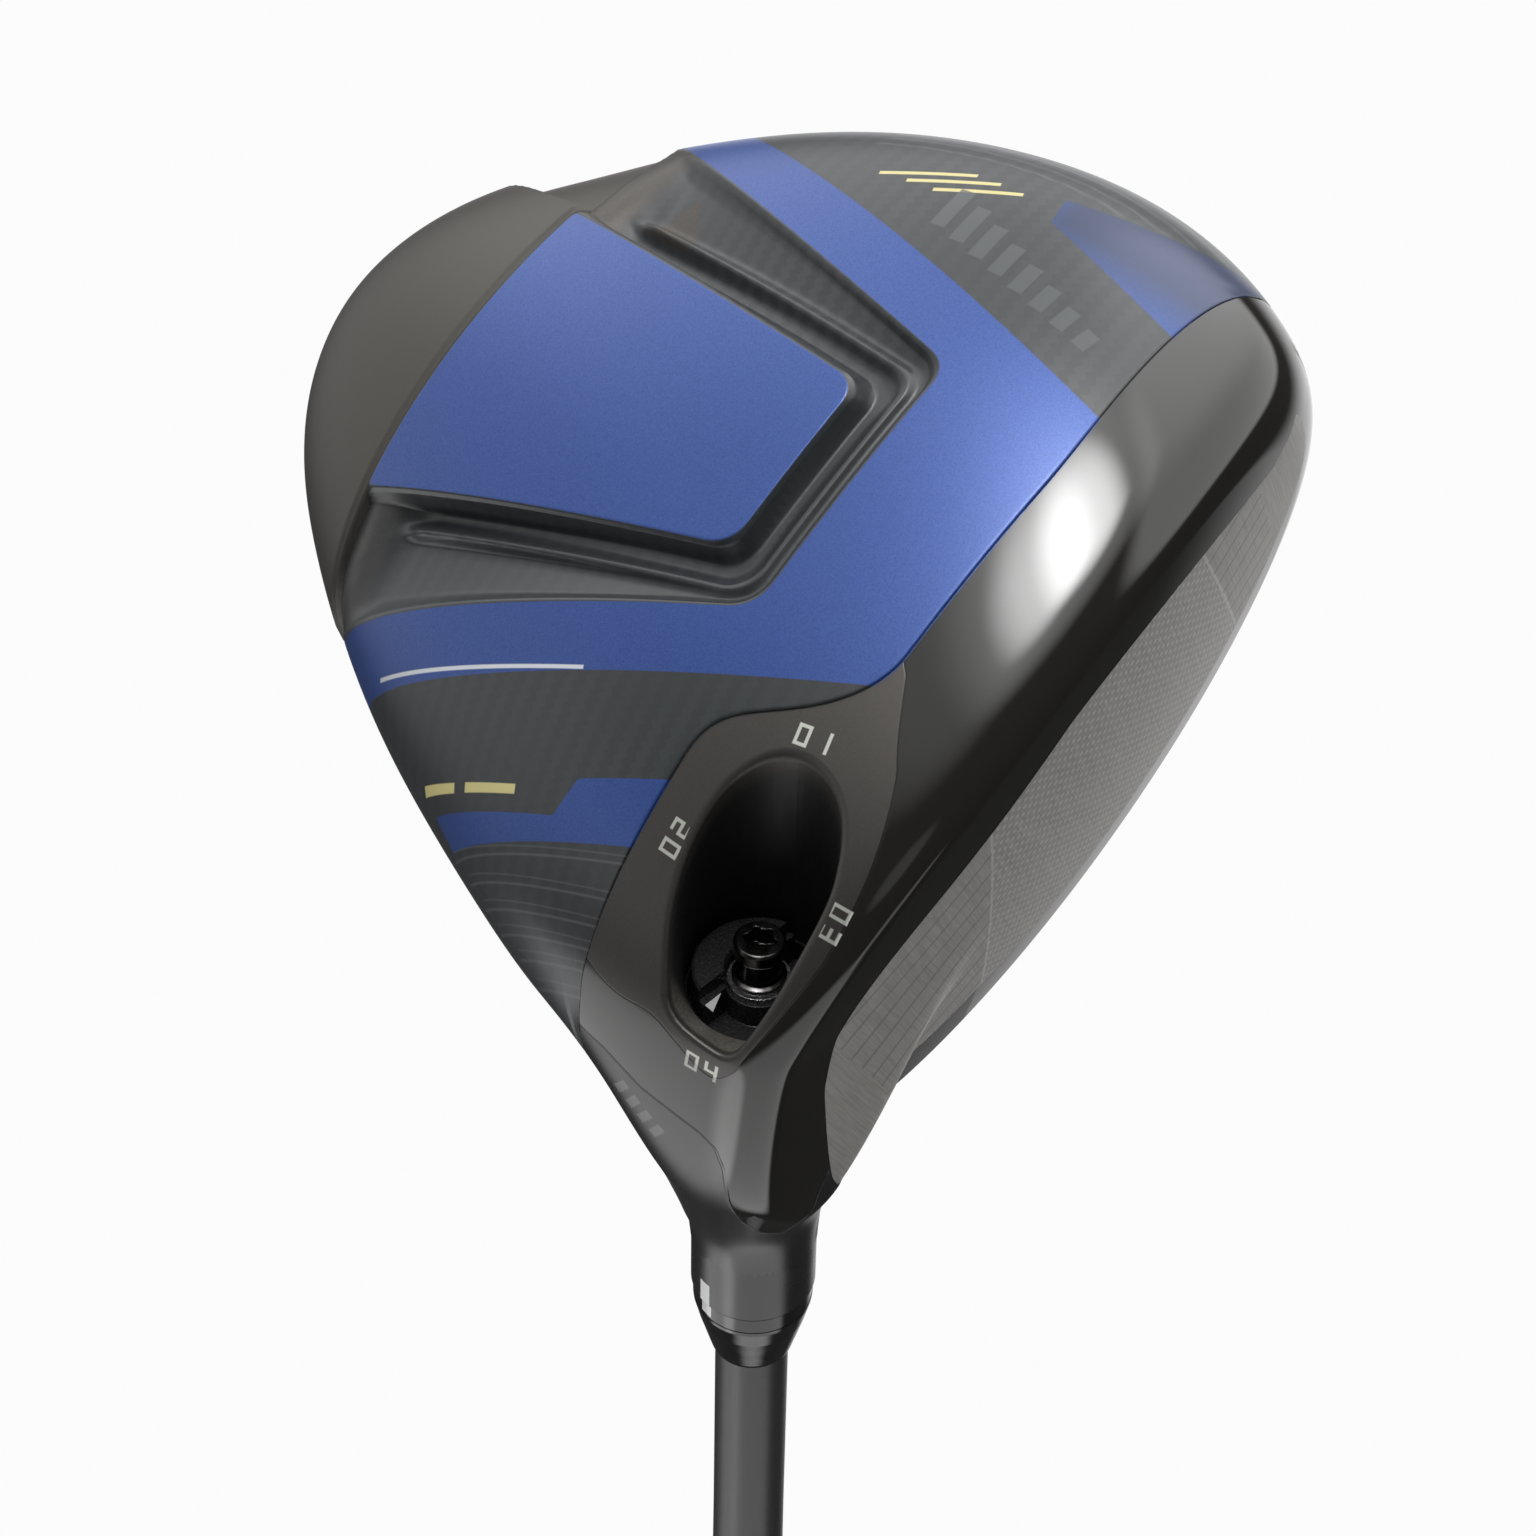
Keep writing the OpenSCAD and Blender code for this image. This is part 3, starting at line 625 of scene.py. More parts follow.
# ---------------------------------------------------------------- paint values
BLUE_DARK, BLUE_LIGHT = (0.013, 0.042, 0.190), (0.038, 0.086, 0.295)
GOLD, WHITE, INDEX_WHITE = (0.52, 0.46, 0.20), (0.66, 0.68, 0.70), (0.82, 0.83, 0.84)
GROOVE_BLACK = (0.003, 0.003, 0.003)
# dark and light ends of mottled colours
BROWN_SATIN = (0.050, 0.0465, 0.0430), (0.082, 0.076, 0.070)
BLACK_SATIN = (0.0120, 0.0118, 0.0120), (0.0190, 0.0186, 0.0188)
BLACK_GLOSS = (0.0095, 0.0095, 0.010), (0.0135, 0.0135, 0.014)

# painted strokes on the sole, plan start and end
PIN_FAN = [((-45.3, -56.3), (-35.0, -31.0)), ((-46.3, -52.8), (-38.4, -29.0)),
           ((-47.6, -49.6), (-41.4, -29.0)), ((-48.8, -46.5), (-44.0, -29.5)),
           ((-49.7, -42.3), (-46.0, -29.0)), ((-51.0, -38.9), (-48.4, -28.5))]
# the same with half width
GOLD_STROKES = [((44.2, -60.6), (49.8, -51.0), 0.26), ((44.9, -56.9), (50.2, -47.8), 0.26),
                ((45.4, -53.2), (50.4, -44.6), 0.26), ((-41.0, -63.2), (-38.9, -57.8), 0.50),
                ((-38.2, -56.1), (-35.3, -48.8), 0.50)]

# marks on the front shell: centre, reading direction, up direction, boxes, reach
# a box is: centre along and up, half sizes along and up, half width of its outline if open
MARKS = []
FIGURE_W, FIGURE_H, BAR = 0.62, 1.0, 0.19  # half sizes of a figure, half width of its bars
FIGURE_X = (-1.25, 1.15)  # places of the two figures


def figure_boxes(bars):
    """A nought and a seven-bar figure."""
    x, high, tall = FIGURE_X[1], FIGURE_H / 2, FIGURE_H / 2 + BAR
    left, right = x - FIGURE_W, x + FIGURE_W
    places = {"a": (x, FIGURE_H, FIGURE_W, BAR), "g": (x, 0, FIGURE_W, BAR),
              "d": (x, -FIGURE_H, FIGURE_W, BAR), "f": (left, high, BAR, tall),
              "b": (right, high, BAR, tall), "e": (left, -high, BAR, tall),
              "c": (right, -high, BAR, tall)}
    return [(FIGURE_X[0], 0, FIGURE_W, FIGURE_H, BAR)] + [places[bar] for bar in bars]


# figures 01 to 04 round the recess: plan place, rough reading direction, bars of the last figure
for place, reading, bars in (((-13.2, -20.0), (1.1, 4.6, 0.4), "bc"),
                             ((-29.8, -27.3), (5.6, 0.0, -1.6), "abged"),
                             ((-27.5, -6.9), (-6.0, 0.2, 1.7), "abgcd"),
                             ((-46.9, -14.5), (0.4, 3.5, 0.6), "fgbc")):
    angles = sole_angles(*map(np.array, place))
    normal = head_normal(*angles)
    reading = np.array(reading)
    reading = unit(reading - normal * (reading @ normal))
    MARKS.append((head_point(*angles), reading, np.cross(normal, reading),
                  figure_boxes(bars), 3.4))
# a row of four plain bars at the heel
MARKS.append((np.array([-54.7, -21.4, 25.6]), unit(np.array([-0.1, 5.6, 4.6])),
              unit(np.array([-0.35, -0.62, 0.74])),
              [(bar_x, 0, 0.55, 1.3) for bar_x in (-4.6, -2.6, -0.6, 1.4)], 7.5))


# ---------------------------------------------------------------- materials
def sole_paint():
    """Black over a weave, flaked blue areas, metallic brown patches and painted strokes."""
    blue = inside(attribute("blue"), soft=0.05)
    brown = attribute("taupe")
    over = weave()
    x, y = along((1, 0, 0)), along((0, 1, 0))
    flake = shader("ShaderNodeSeparateColor", voronoi(9000, "Color"))
    depth = ramp(attribute("groove"), 0.0, 1.2)
    flaked = mix(mul_add(flake, 0.55, mul(noise(2600), 0.45)), BLUE_DARK, BLUE_LIGHT)
    # the weave shows unevenly and is a little paler down in the channel
    weave_on = mul(over, ramp(noise(45), 0.35, 0.65, low=0.25, high=1.0))
    black = mix(weave_on, (0.0200, 0.0235, 0.0260), (0.0275, 0.0320, 0.0350))
    deep = mix(weave_on, (0.0220, 0.0245, 0.0275), (0.0310, 0.0345, 0.0380))
    black = mix(depth, black, deep)
    # painted shade: the blue is darkened towards the toe and the front, where the sole curves away
    # from the light
    toe_shade = mul(ramp(x, 43.0, 50.0), ramp(y, -46.0, -38.0))
    flaked = mix(mul(toe_shade, 0.85), flaked, (0.018, 0.026, 0.055))
    color = mix(blue, black, flaked)
    # heel pinstripes, each with a finer one beside it
    fine = [[(end_x + 0.75, end_y - 0.3) for end_x, end_y in ends] for ends in PIN_FAN]
    pins = reduce(larger, [stroke(x, y, *ends, half=0.10, soft=0.10) for ends in PIN_FAN]
                  + [stroke(x, y, *ends, half=0.05, soft=0.09) for ends in fine])
    pins = larger(mul(pins, 0.55), mul(attribute("pin"), 0.5))
    color = mix(pins, color, (0.105, 0.105, 0.11))
    color = mix(reduce(larger, [stroke(x, y, *row) for row in GOLD_STROKES]), color, GOLD)
    pale = stroke(x, y, (-33.9, -75.6), (-20.6, -48.2), half=0.22)
    color = mix(mul(pale, 0.9), color, WHITE)
    # ladder of eight short grey bars on the toe side
    hatch = [stroke(x, y, (47.4 - 1.05 * k, -49.6 + 3.55 * k), (41.6 - 0.55 * k, -48.6 + 3.35 * k),
                    half=0.95, soft=0.08) for k in range(8)]
    color = mix(mul(reduce(larger, hatch), 0.85), color, (0.060, 0.066, 0.070))
    brown_color = mix(noise(2600, detail=3), (0.072, 0.066, 0.060), (0.105, 0.097, 0.089))
    rough = blend(blue, blend(depth, 0.36, 0.46), 0.38)
    normal = bump(mul(over, invert(blue)), strength=0.10, depth=0.00002)
    return {
        "Base Color": mix(brown, color, brown_color),
        "Metallic": larger(mul(blue, 0.42), mul(brown, 0.75)),
        "Roughness": blend(brown, rough, 0.44),
        "Normal": bump(flake, mul(blue, 0.05), depth=0.00002, normal=normal),
        "Coat Weight": mul(invert(brown), 0.35), "Coat Roughness": 0.22,
        "Specular IOR Level": 0.4}


def front_gloss():
    """Gloss black, satin brown-grey round the screw recess, satin black on the neck."""
    satin = inside(attribute("satin"), soft=0.14)
    neck = ramp(attribute("neckp"), -0.06, 0.06)
    # thin dark line along both paint edges
    edge = larger(ramp(absolute(attribute("neckp")), 0.17, 0.07),
                  mul(ramp(absolute(attribute("satin")), 0.14, 0.04), 0.75))
    grain = noise(5200, detail=4)
    gloss = mix(noise(60), (0.0120, 0.0115, 0.0105), (0.0150, 0.0140, 0.0128))
    color = mix(neck, mix(satin, gloss, mix(grain, *BROWN_SATIN)), mix(grain, *BLACK_SATIN))
    color = mix(mul(edge, 0.85), color, GROOVE_BLACK)
    satin_only = mul(satin, invert(neck))
    marks = []
    for centre, reading, upward, boxes, reach in MARKS:
        x, y = (along(way, np.dot(centre, way)) for way in (reading, upward))
        gap = reduce(smaller, [box(x, y, *row) for row in boxes])
        marks.append(mul(inside(gap, soft=0.05), near(centre, reach)))
    figures = reduce(larger, marks[:4])
    color = mix(figures, color, (0.50, 0.51, 0.47))
    color = mix(mul(marks[4], 0.5), color, (0.22, 0.22, 0.22))
    gloss_rough = spread(noise(140, detail=3), low=0.045, high=0.075)
    rough = blend(neck, blend(satin, gloss_rough, 0.40), 0.26)
    normal = bump(grain, mul_add(satin_only, 0.10, mul(neck, 0.04)), depth=0.00003)
    return {
        "Base Color": color, "Metallic": mul(satin_only, 0.7),
        "Roughness": blend(figures, rough, 0.5),
        "Normal": bump(mul(edge, -1.0), strength=0.5, depth=0.00008, normal=normal),
        "Specular IOR Level": 0.58}


def face_brushed():
    """Brushed up and down, dots in the hitting area, score lines at both sides."""
    x, z = along((1, 0, 0)), along((0, 0, 1))
    brush = stretched((5200.0, 300.0, 130.0), rough=0.65)
    # slanted edges of the hitting area, nearly straight up the face
    toe = mul_add(z, -0.04, sub(x, 27.6))
    heel = mul_add(z, 0.28, add(x, 5.9))
    hitting = mul(below(toe, 0.0), above(heel, 0.0))
    edge = larger(*(ramp(absolute(side), 0.28, 0.12) for side in (toe, heel)))
    # 0.8 dots to the mm, every second row shifted by half a pitch
    across, upward = mul(x, 0.80), mul(z, 0.80)
    row = whole(upward)
    shifted = add(across, mul(calc("MODULO", add(row, 100.0), 2.0), 0.5))
    dx, dz = (sub(fract(value), 0.5) for value in (shifted, upward))
    dot = ramp(add(mul(dx, dx), mul(dz, dz)), 0.075, 0.035)
    dot = mul(dot, mul(hitting, ramp(z, 12.0, 14.0)))
    # score lines every 4 mm of height, from 16 mm up and within 38 mm of x = 1
    score = mul(ramp(cell_gap(mul(z, 0.25)), 0.10, 0.05), invert(hitting))
    score = mul(score, mul(below(away(x, 1.0), 38.0), above(z, 16.0)))
    color = mix(ramp(brush, 0.32, 0.68), (0.330, 0.324, 0.308), (0.520, 0.510, 0.486))
    color = mix(mul(dot, 0.6), color, (0.72, 0.71, 0.69))
    color = mix(mul(edge, 0.6), color, (0.70, 0.69, 0.665))
    color = mix(mul(score, 0.45), color, (0.180, 0.176, 0.167))
    height = sub(mul(brush, 0.3), add(mul(dot, 0.25), add(score, mul(edge, -0.3))))
    return {
        "Base Color": color, "Metallic": 0.50, "Specular IOR Level": 0.2,
        "Roughness": spread(brush, low=0.34, high=0.46),
        "Normal": bump(height, strength=0.35, depth=0.00006)}


def weight_satin():
    """Satin brown-grey metal with a fine grain."""
    grain = stretched((5000.0, 5000.0, 1200.0))
    color = mix(grain, (0.066, 0.062, 0.056), (0.100, 0.094, 0.085))
    return {
        "Base Color": mix(ramp(noise(90), 0.35, 0.7), color, (0.082, 0.077, 0.070)),
        "Metallic": 0.75, "Roughness": ramp(grain, 0.2, 0.8, low=0.38, high=0.48),
        "Normal": bump(grain, strength=0.10, depth=0.00003)}


def crown_gloss():
    """Lacquered black weave with a pale aiming mark."""
    over = weave(pitch=0.0014, angle=45.0)
    color = mix(over, (0.0085, 0.009, 0.010), (0.0125, 0.0132, 0.0145))
    return {
        "Base Color": mix(attribute("aim"), color, (0.30, 0.30, 0.305)),
        "Roughness": spread(noise(220, detail=3), low=0.07, high=0.11),
        "Coat Weight": 0.6, "Coat Roughness": 0.02,
        "Normal": bump(over, strength=0.05, depth=0.00002)}


def port_black():
    """Dark recess: satin paint near the lip, rough pale metal on the ledge."""
    grain = noise(3000, detail=4)
    satin = attribute("sat")
    color = mix(grain, (0.0075, 0.0075, 0.0080), (0.0160, 0.0155, 0.0155))
    color = mix(satin, color, mix(noise(5200, detail=4), *BROWN_SATIN))
    ledge = mix(voronoi(2600, "Distance"), (0.30, 0.285, 0.25), (0.13, 0.122, 0.108))
    return {
        "Base Color": mix(attribute("ledge"), color, ledge),
        "Metallic": mul_add(satin, 0.5, 0.2),
        "Roughness": blend(satin, spread(grain, low=0.36, high=0.5), 0.42),
        "Normal": bump(grain, mul_add(attribute("ledge"), 0.4, 0.12), depth=0.00006)}


def index_bar(heelward, forward, up, centre, half):
    """The white index bar on the heel side, at a distance up the axis."""
    gap = box(forward, up, -0.9, centre, half_x=0.8, half_y=half)
    return mul(inside(gap, soft=0.05), above(heelward, 3.0))


def hosel_satin():
    """Satin black neck with a white index bar and a dark line at the mouth."""
    heelward, forward, up = map(along_axis, (HEELWARD, FORWARD, UPSHAFT))
    grain = noise(5200, detail=4)
    bar = index_bar(heelward, forward, up, centre=73.4, half=3.2)
    band = ramp(away(up, MOUTH + 0.05), 0.16, 0.06)
    return {
        "Base Color": mix(band, mix(bar, mix(grain, *BLACK_SATIN), INDEX_WHITE), GROOVE_BLACK),
        "Roughness": blend(bar, spread(noise(160, detail=3), low=0.23, high=0.29), 0.4),
        "Specular IOR Level": 0.58, "Normal": bump(grain, strength=0.04, depth=0.00003)}


def shaft_paint():
    """Satin charcoal with a fading blue field between two silver rings."""
    low_ring, high_ring = 691.0, 863.0
    up = along_axis(UPSHAFT)
    grain = stretched((2500.0, 2500.0, 1400.0))
    color = mix(grain, (0.022, 0.022, 0.024), (0.034, 0.034, 0.036))
    rings = larger(*(ramp(away(up, place), 1.15, 1.0) for place in (low_ring, high_ring)))
    field = mul(mul(above(up, low_ring), below(up, high_ring)),
                ramp(up, low_ring, high_ring, low=1.0, high=0.15))
    speckle = ramp(noise(700), 0.2, 0.5, low=0.7, high=1.0)
    color = mix(mul(field, speckle), color, (0.014, 0.055, 0.26))
    return {
        "Base Color": mix(rings, color, (0.50, 0.50, 0.51)), "Metallic": 0.25,
        "Roughness": spread(grain, low=0.38, high=0.48),
        "Coat Weight": 0.15, "Coat Roughness": 0.25,
        "Normal": bump(grain, strength=0.04, depth=0.00003)}


def grip_rubber():
    """Soft rubber: fine cross hatch cut by smooth bands, with pale alignment ticks."""
    heelward, forward, up = map(along_axis, (HEELWARD, FORWARD, UPSHAFT))
    grain = noise(2200, detail=5)
    around = mul(calc("ARCTAN2", forward, heelward), 11.5)
    rising = mul(up, 0.55)
    cuts = (ramp(cell_gap(mul(way(around, rising), 0.8)), 0.10, 0.04) for way in (add, sub))
    cell = cell_gap(mul(up, 1 / 26.0))  # bands repeat every 26 mm
    cut = mul(larger(*cuts), invert(ramp(cell, 0.40, 0.42)))
    color = mix(grain, (0.014, 0.014, 0.0145), (0.028, 0.028, 0.029))
    # painted shade: the cut grooves get a darker colour than the rubber round them
    color = mix(cut, color, (0.007, 0.007, 0.007))
    tick = mul(ramp(absolute(forward), 0.5, 0.4),
               mul(below(heelward, 0.0), ramp(away(cell, 0.25), 0.05, 0.04)))
    return {
        "Base Color": mix(mul(tick, above(up, 1000.0)), color, (0.45, 0.45, 0.45)),
        "Roughness": spread(grain, low=0.62, high=0.80),
        "Normal": bump(sub(mul(grain, 0.25), cut), strength=0.5, depth=0.00025)}


def sleeve_metal():
    """Bare turned metal below the mouth; gloss black with part of the index bar above it."""
    heelward, forward, up = map(along_axis, (HEELWARD, FORWARD, UPSHAFT))
    turned = stretched((600.0, 600.0, 5000.0), detail=3.0)
    top = above(up, MOUTH + 0.02)
    bar = index_bar(heelward, forward, up, centre=75.3, half=0.9)
    color = mix(top, mix(turned, (0.55, 0.55, 0.57), (0.72, 0.72, 0.74)),
                mix(turned, *BLACK_GLOSS))
    return {
        "Base Color": mix(bar, color, INDEX_WHITE), "Metallic": invert(top),
        "Roughness": blend(top, spread(turned, low=0.22, high=0.34), 0.12),
        "Specular IOR Level": 0.58, "Normal": bump(turned, strength=0.05, depth=0.00002)}


def plain(scale, detail, dark, light, rough, strength, depth, bevel=None, inputs=None):
    """Builder of a mottled material; bevel is a radius in metres, rough a low and a high."""
    def build():
        grain = noise(scale, detail)
        normal = None
        if bevel:
            edges = node("ShaderNodeBevel", samples=4)
            put(edges.inputs["Radius"], bevel)
            normal = edges.outputs[0]
        return {"Base Color": mix(grain, dark, light), "Roughness": spread(grain, *rough),
                "Normal": bump(grain, strength, depth, normal), **(inputs or {})}
    return build


def material(name, build):
    new = bpy.data.materials.new(name)
    start_tree(new)
    surface = node("ShaderNodeBsdfPrincipled")
    shader("ShaderNodeOutputMaterial", surface.outputs[0]) if False else put(
        node("ShaderNodeOutputMaterial").inputs[0], surface.outputs[0])
    for key, value in build().items():
        put(surface.inputs[key], value)
    return new


METAL = {"Metallic": 1.0}
MATERIAL = {name: material(name, build) for name, build in {
    "sole_paint": sole_paint, "front_gloss": front_gloss, "face_brushed": face_brushed,
    "weight_satin": weight_satin, "crown_gloss": crown_gloss, "port_black": port_black,
    "dial_black": plain(2400, 3, dark=(0.014, 0.014, 0.015), light=(0.026, 0.026, 0.027),
                        rough=(0.20, 0.30), strength=0.08, depth=0.00003, bevel=0.00018,
                        inputs={"Metallic": 0.3}),
    "screw_dark": plain(1600, 4, dark=(0.050, 0.049, 0.048), light=(0.095, 0.093, 0.090),
                        rough=(0.14, 0.24), strength=0.08, depth=0.00003, bevel=0.00022,
                        inputs=METAL),
    "steel": plain(1800, 4, dark=(0.40, 0.40, 0.41), light=(0.56, 0.56, 0.57),
                   rough=(0.18, 0.30), strength=0.06, depth=0.00003, bevel=0.0001, inputs=METAL),
    "titanium": plain(1200, 5, dark=(0.25, 0.245, 0.24), light=(0.40, 0.395, 0.39),
                      rough=(0.35, 0.55), strength=0.2, depth=0.00005, inputs=METAL),
    "hosel_satin": hosel_satin,
    "ferrule_black": plain(700, 3, *BLACK_GLOSS, rough=(0.07, 0.13), strength=0.03,
                           depth=0.00003, inputs={"Specular IOR Level": 0.55}),
    "shaft_paint": shaft_paint, "grip_rubber": grip_rubber,
    # white paint that also glows faintly: painted light on the dial pointer, which is no lamp
    "glowing_white_paint": plain(3000, 3, dark=(0.80, 0.80, 0.79), light=(0.90, 0.90, 0.89),
                         rough=(0.4, 0.55), strength=0.05, depth=0.00002,
                         inputs={"Emission Color": (1, 1, 1), "Emission Strength": 0.25}),
    "sleeve_metal": sleeve_metal,
    "epoxy": plain(900, 3, dark=(0.50, 0.44, 0.22), light=(0.62, 0.56, 0.32),
                   rough=(0.2, 0.35), strength=0.1, depth=0.00005),
    "tape": plain(1500, 4, dark=(0.60, 0.55, 0.38), light=(0.72, 0.67, 0.50),
                  rough=(0.7, 0.85), strength=0.2, depth=0.00005),
}.items()}

# ---------------------------------------------------------------- head shells
COARSE = 1.0
FRONT_ROWS = 260
CROWN_ROWS = 150
WEIGHT_ROWS = 90
# turns of the mesh columns: finer round the heel
TURNS = np.concatenate([np.arange(0, 105, 0.75 * COARSE), np.arange(105, 188, 0.42 * COARSE),
                        np.arange(188, 359.9, 0.75 * COARSE)])


def curl(gap):
    """Depth of the small round over a seam edge at a distance from it."""
    return np.interp(gap, [0, 0.12, 0.28, 0.55], [0.38, 0.11, 0.02, 0.0])


def lay(turn, rise):
    """Points, normals, and the lengths up each column from its start and to its end."""
    turn = np.broadcast_to(turn, rise.shape)
    points = head_point(turn, rise)
    steps = np.linalg.norm(np.diff(points, axis=1), axis=2)
    length = np.concatenate([np.zeros((len(points), 1)), np.cumsum(steps, 1)], 1)
    return points, head_normal(turn, rise), length, length[:, -1:] - length


# ---- sole
SOLE_MID = np.array([3.0, -66.0])  # plan point the columns spread from
# distances from the island's and the channel's edges that get a row
ISLAND_LEVELS = (-1.6, -1.2, -0.9, -0.6, -0.4, -0.25, -0.1, 0.0, 0.12, 0.25, 0.4, 0.6, 0.8, 1.0,
                 1.25, 1.5, 1.8)
CHANNEL_START = -0.9
CHANNEL_LEVELS = (-0.6, -0.35, -0.15, 0.0, 0.15, 0.35, 0.6, 0.9)
OUTER_ROWS = 84
PIN_PITCH, PIN_WIDTH, PIN_SOFT = 1.5, 0.28, 0.12


def sole_grid():
    """Plan x, y and turn, rise of columns running from the middle out to the seam."""
    spoke = head_point(TURNS, sole_seam(TURNS))[:, :2] - SOLE_MID
    length = np.linalg.norm(spoke, axis=1)

    def solve(region, level):
        """Share of each spoke at which a region's distance reaches level."""
        low, high = np.zeros(len(TURNS)), np.full(len(TURNS), 1.25)
        for _ in range(40):
            middle = (low + high) / 2
            short = region(*(SOLE_MID + spoke * middle[:, None]).T) < level
            low, high = np.where(short, middle, low), np.where(short, high, middle)
        return (low + high) / 2

    first = solve(island, ISLAND_LEVELS[0])
    rows = [first * t for t in np.linspace(0.03, 1.0, 26)[:-1]]
    rows += [solve(island, level) for level in ISLAND_LEVELS]
    start = rows[-1]
    end = np.maximum(solve(channel, CHANNEL_START), start + 0.4 / length)
    rows += [start + (end - start) * t for t in np.linspace(0, 1, 34)[1:]]
    end = rows[-1]
    rows += [np.maximum(solve(channel, level), end + (level - CHANNEL_START) / length)
             for level in CHANNEL_LEVELS]
    end = rows[-1]
    rows += [end + (1 - end) * math.sin(math.pi / 2 * k / OUTER_ROWS)
             for k in range(1, OUTER_ROWS + 1)]
    share = np.stack(rows, 1)
    # columns that reach the seam early squeeze the left-over rows into the last sliver
    count = share.shape[1]
    share = np.minimum(share, 1 - (count - 1 - np.arange(count))[None, :] * 2.0e-5)
    x, y = (SOLE_MID[i] + spoke[:, i:i + 1] * share for i in (0, 1))
    turn, rise = sole_angles(x, y)
    turn[:, -1], rise[:, -1] = TURNS, sole_seam(TURNS)
    return x, y, turn, rise


def sole_shell():
    x, y, turn, rise = sole_grid()
    base, head_normals, _, to_end = lay(turn, rise)
    points = base - head_normals * (sole_depth(x, y) + curl(to_end))[..., None]
    around = np.roll(points, -1, 0) - np.roll(points, 1, 0)
    normals = unit(np.cross(around, np.gradient(points, axis=1)))
    at_seam = to_end < 0.05
    normals[at_seam] = head_normals[at_seam]
    normals[np.sum(normals * head_normals, -1) < 0] *= -1
    middle = sole_angles(*map(np.array, SOLE_MID))
    middle_normal = head_normal(*middle)
    middle_point = head_point(*middle) + ISLAND_RISE * middle_normal
    columns, rows = x.shape
    points = np.vstack([points.reshape(-1, 3), middle_point])
    normals = np.vstack([normals.reshape(-1, 3), middle_normal])
    faces = grid_faces(columns, rows, wrap=True)
    faces += [[columns * rows, (i + 1) % columns * rows, i * rows] for i in range(columns)]
    faces = wind_outward(points, normals, faces)

    x, y = points[:, 0], points[:, 1]
    inner, outer = island(x, y), channel(x, y)
    blue = blue_area(x, y)
    groove = np.where((inner > -0.1) & (outer < 0.1), np.maximum(sole_depth(x, y), 0), 0)
    ramp_zone = step(-83.2, -85.4, y) * step(0.1, 0.5, inner) * step(0.6, -0.6, outer)
    taupe = np.maximum(step(0.12, -0.12, outline_gap(x, y, FACET)) * 0.9,
                       ramp_zone * np.where(x > 0, 0.85, 0.35))
    # pinstripes that follow the plan outline at the toe
    dx, dy = x - CENTRE_X, y - CENTRE_Y
    from_rim = np.hypot(dx, dy) - plan_radius(np.degrees(np.arctan2(dy, dx)))
    cell = np.mod(from_rim + 6.0, PIN_PITCH)
    cell = np.minimum(cell, PIN_PITCH - cell)
    stripes = 1 - step(PIN_WIDTH / 2 - PIN_SOFT, PIN_WIDTH / 2 + PIN_SOFT, cell)
    toe_zone = (x > 40) & (y > -66) & (blue > 0.3) & (from_rim > -7.2) & (from_rim < -0.5)
    add_shell("sole_shell", points, normals, faces, 1.1, "sole_paint",
              "sole_panel", "sole_composite",
              blue=blue, groove=groove, taupe=taupe, pin=stripes * toe_zone)


# ---- front: from the sole seam round the face to the crown seam
def front_surface():
    """Plain points, points rounded at the seams, normals, faces, distance to the face plate."""
    turn = TURNS[TURNS < 184]
    turn = turn[(crown_seam(turn) - sole_seam(turn)) > 1.2][:, None]
    low, high, width = sole_seam(turn), crown_seam(turn), face_width(turn)
    share = np.linspace(0, 1, FRONT_ROWS)[None]
    base, normals, from_start, to_end = lay(turn, low + (high - low) * share)
    rounded = base - normals * (curl(from_start) + curl(to_end))[..., None]
    # positive outside the plate, scaled from shares of the column to mm
    gap = np.maximum(face_bottom(turn) - share, share - (0.60 + 0.244 * width))
    gap = np.maximum(gap * from_start[:, -1:], (0.06 - width) * 12.0)
    faces = wind_outward(rounded, normals, grid_faces(len(turn), FRONT_ROWS))
    return base, rounded, normals, faces, gap


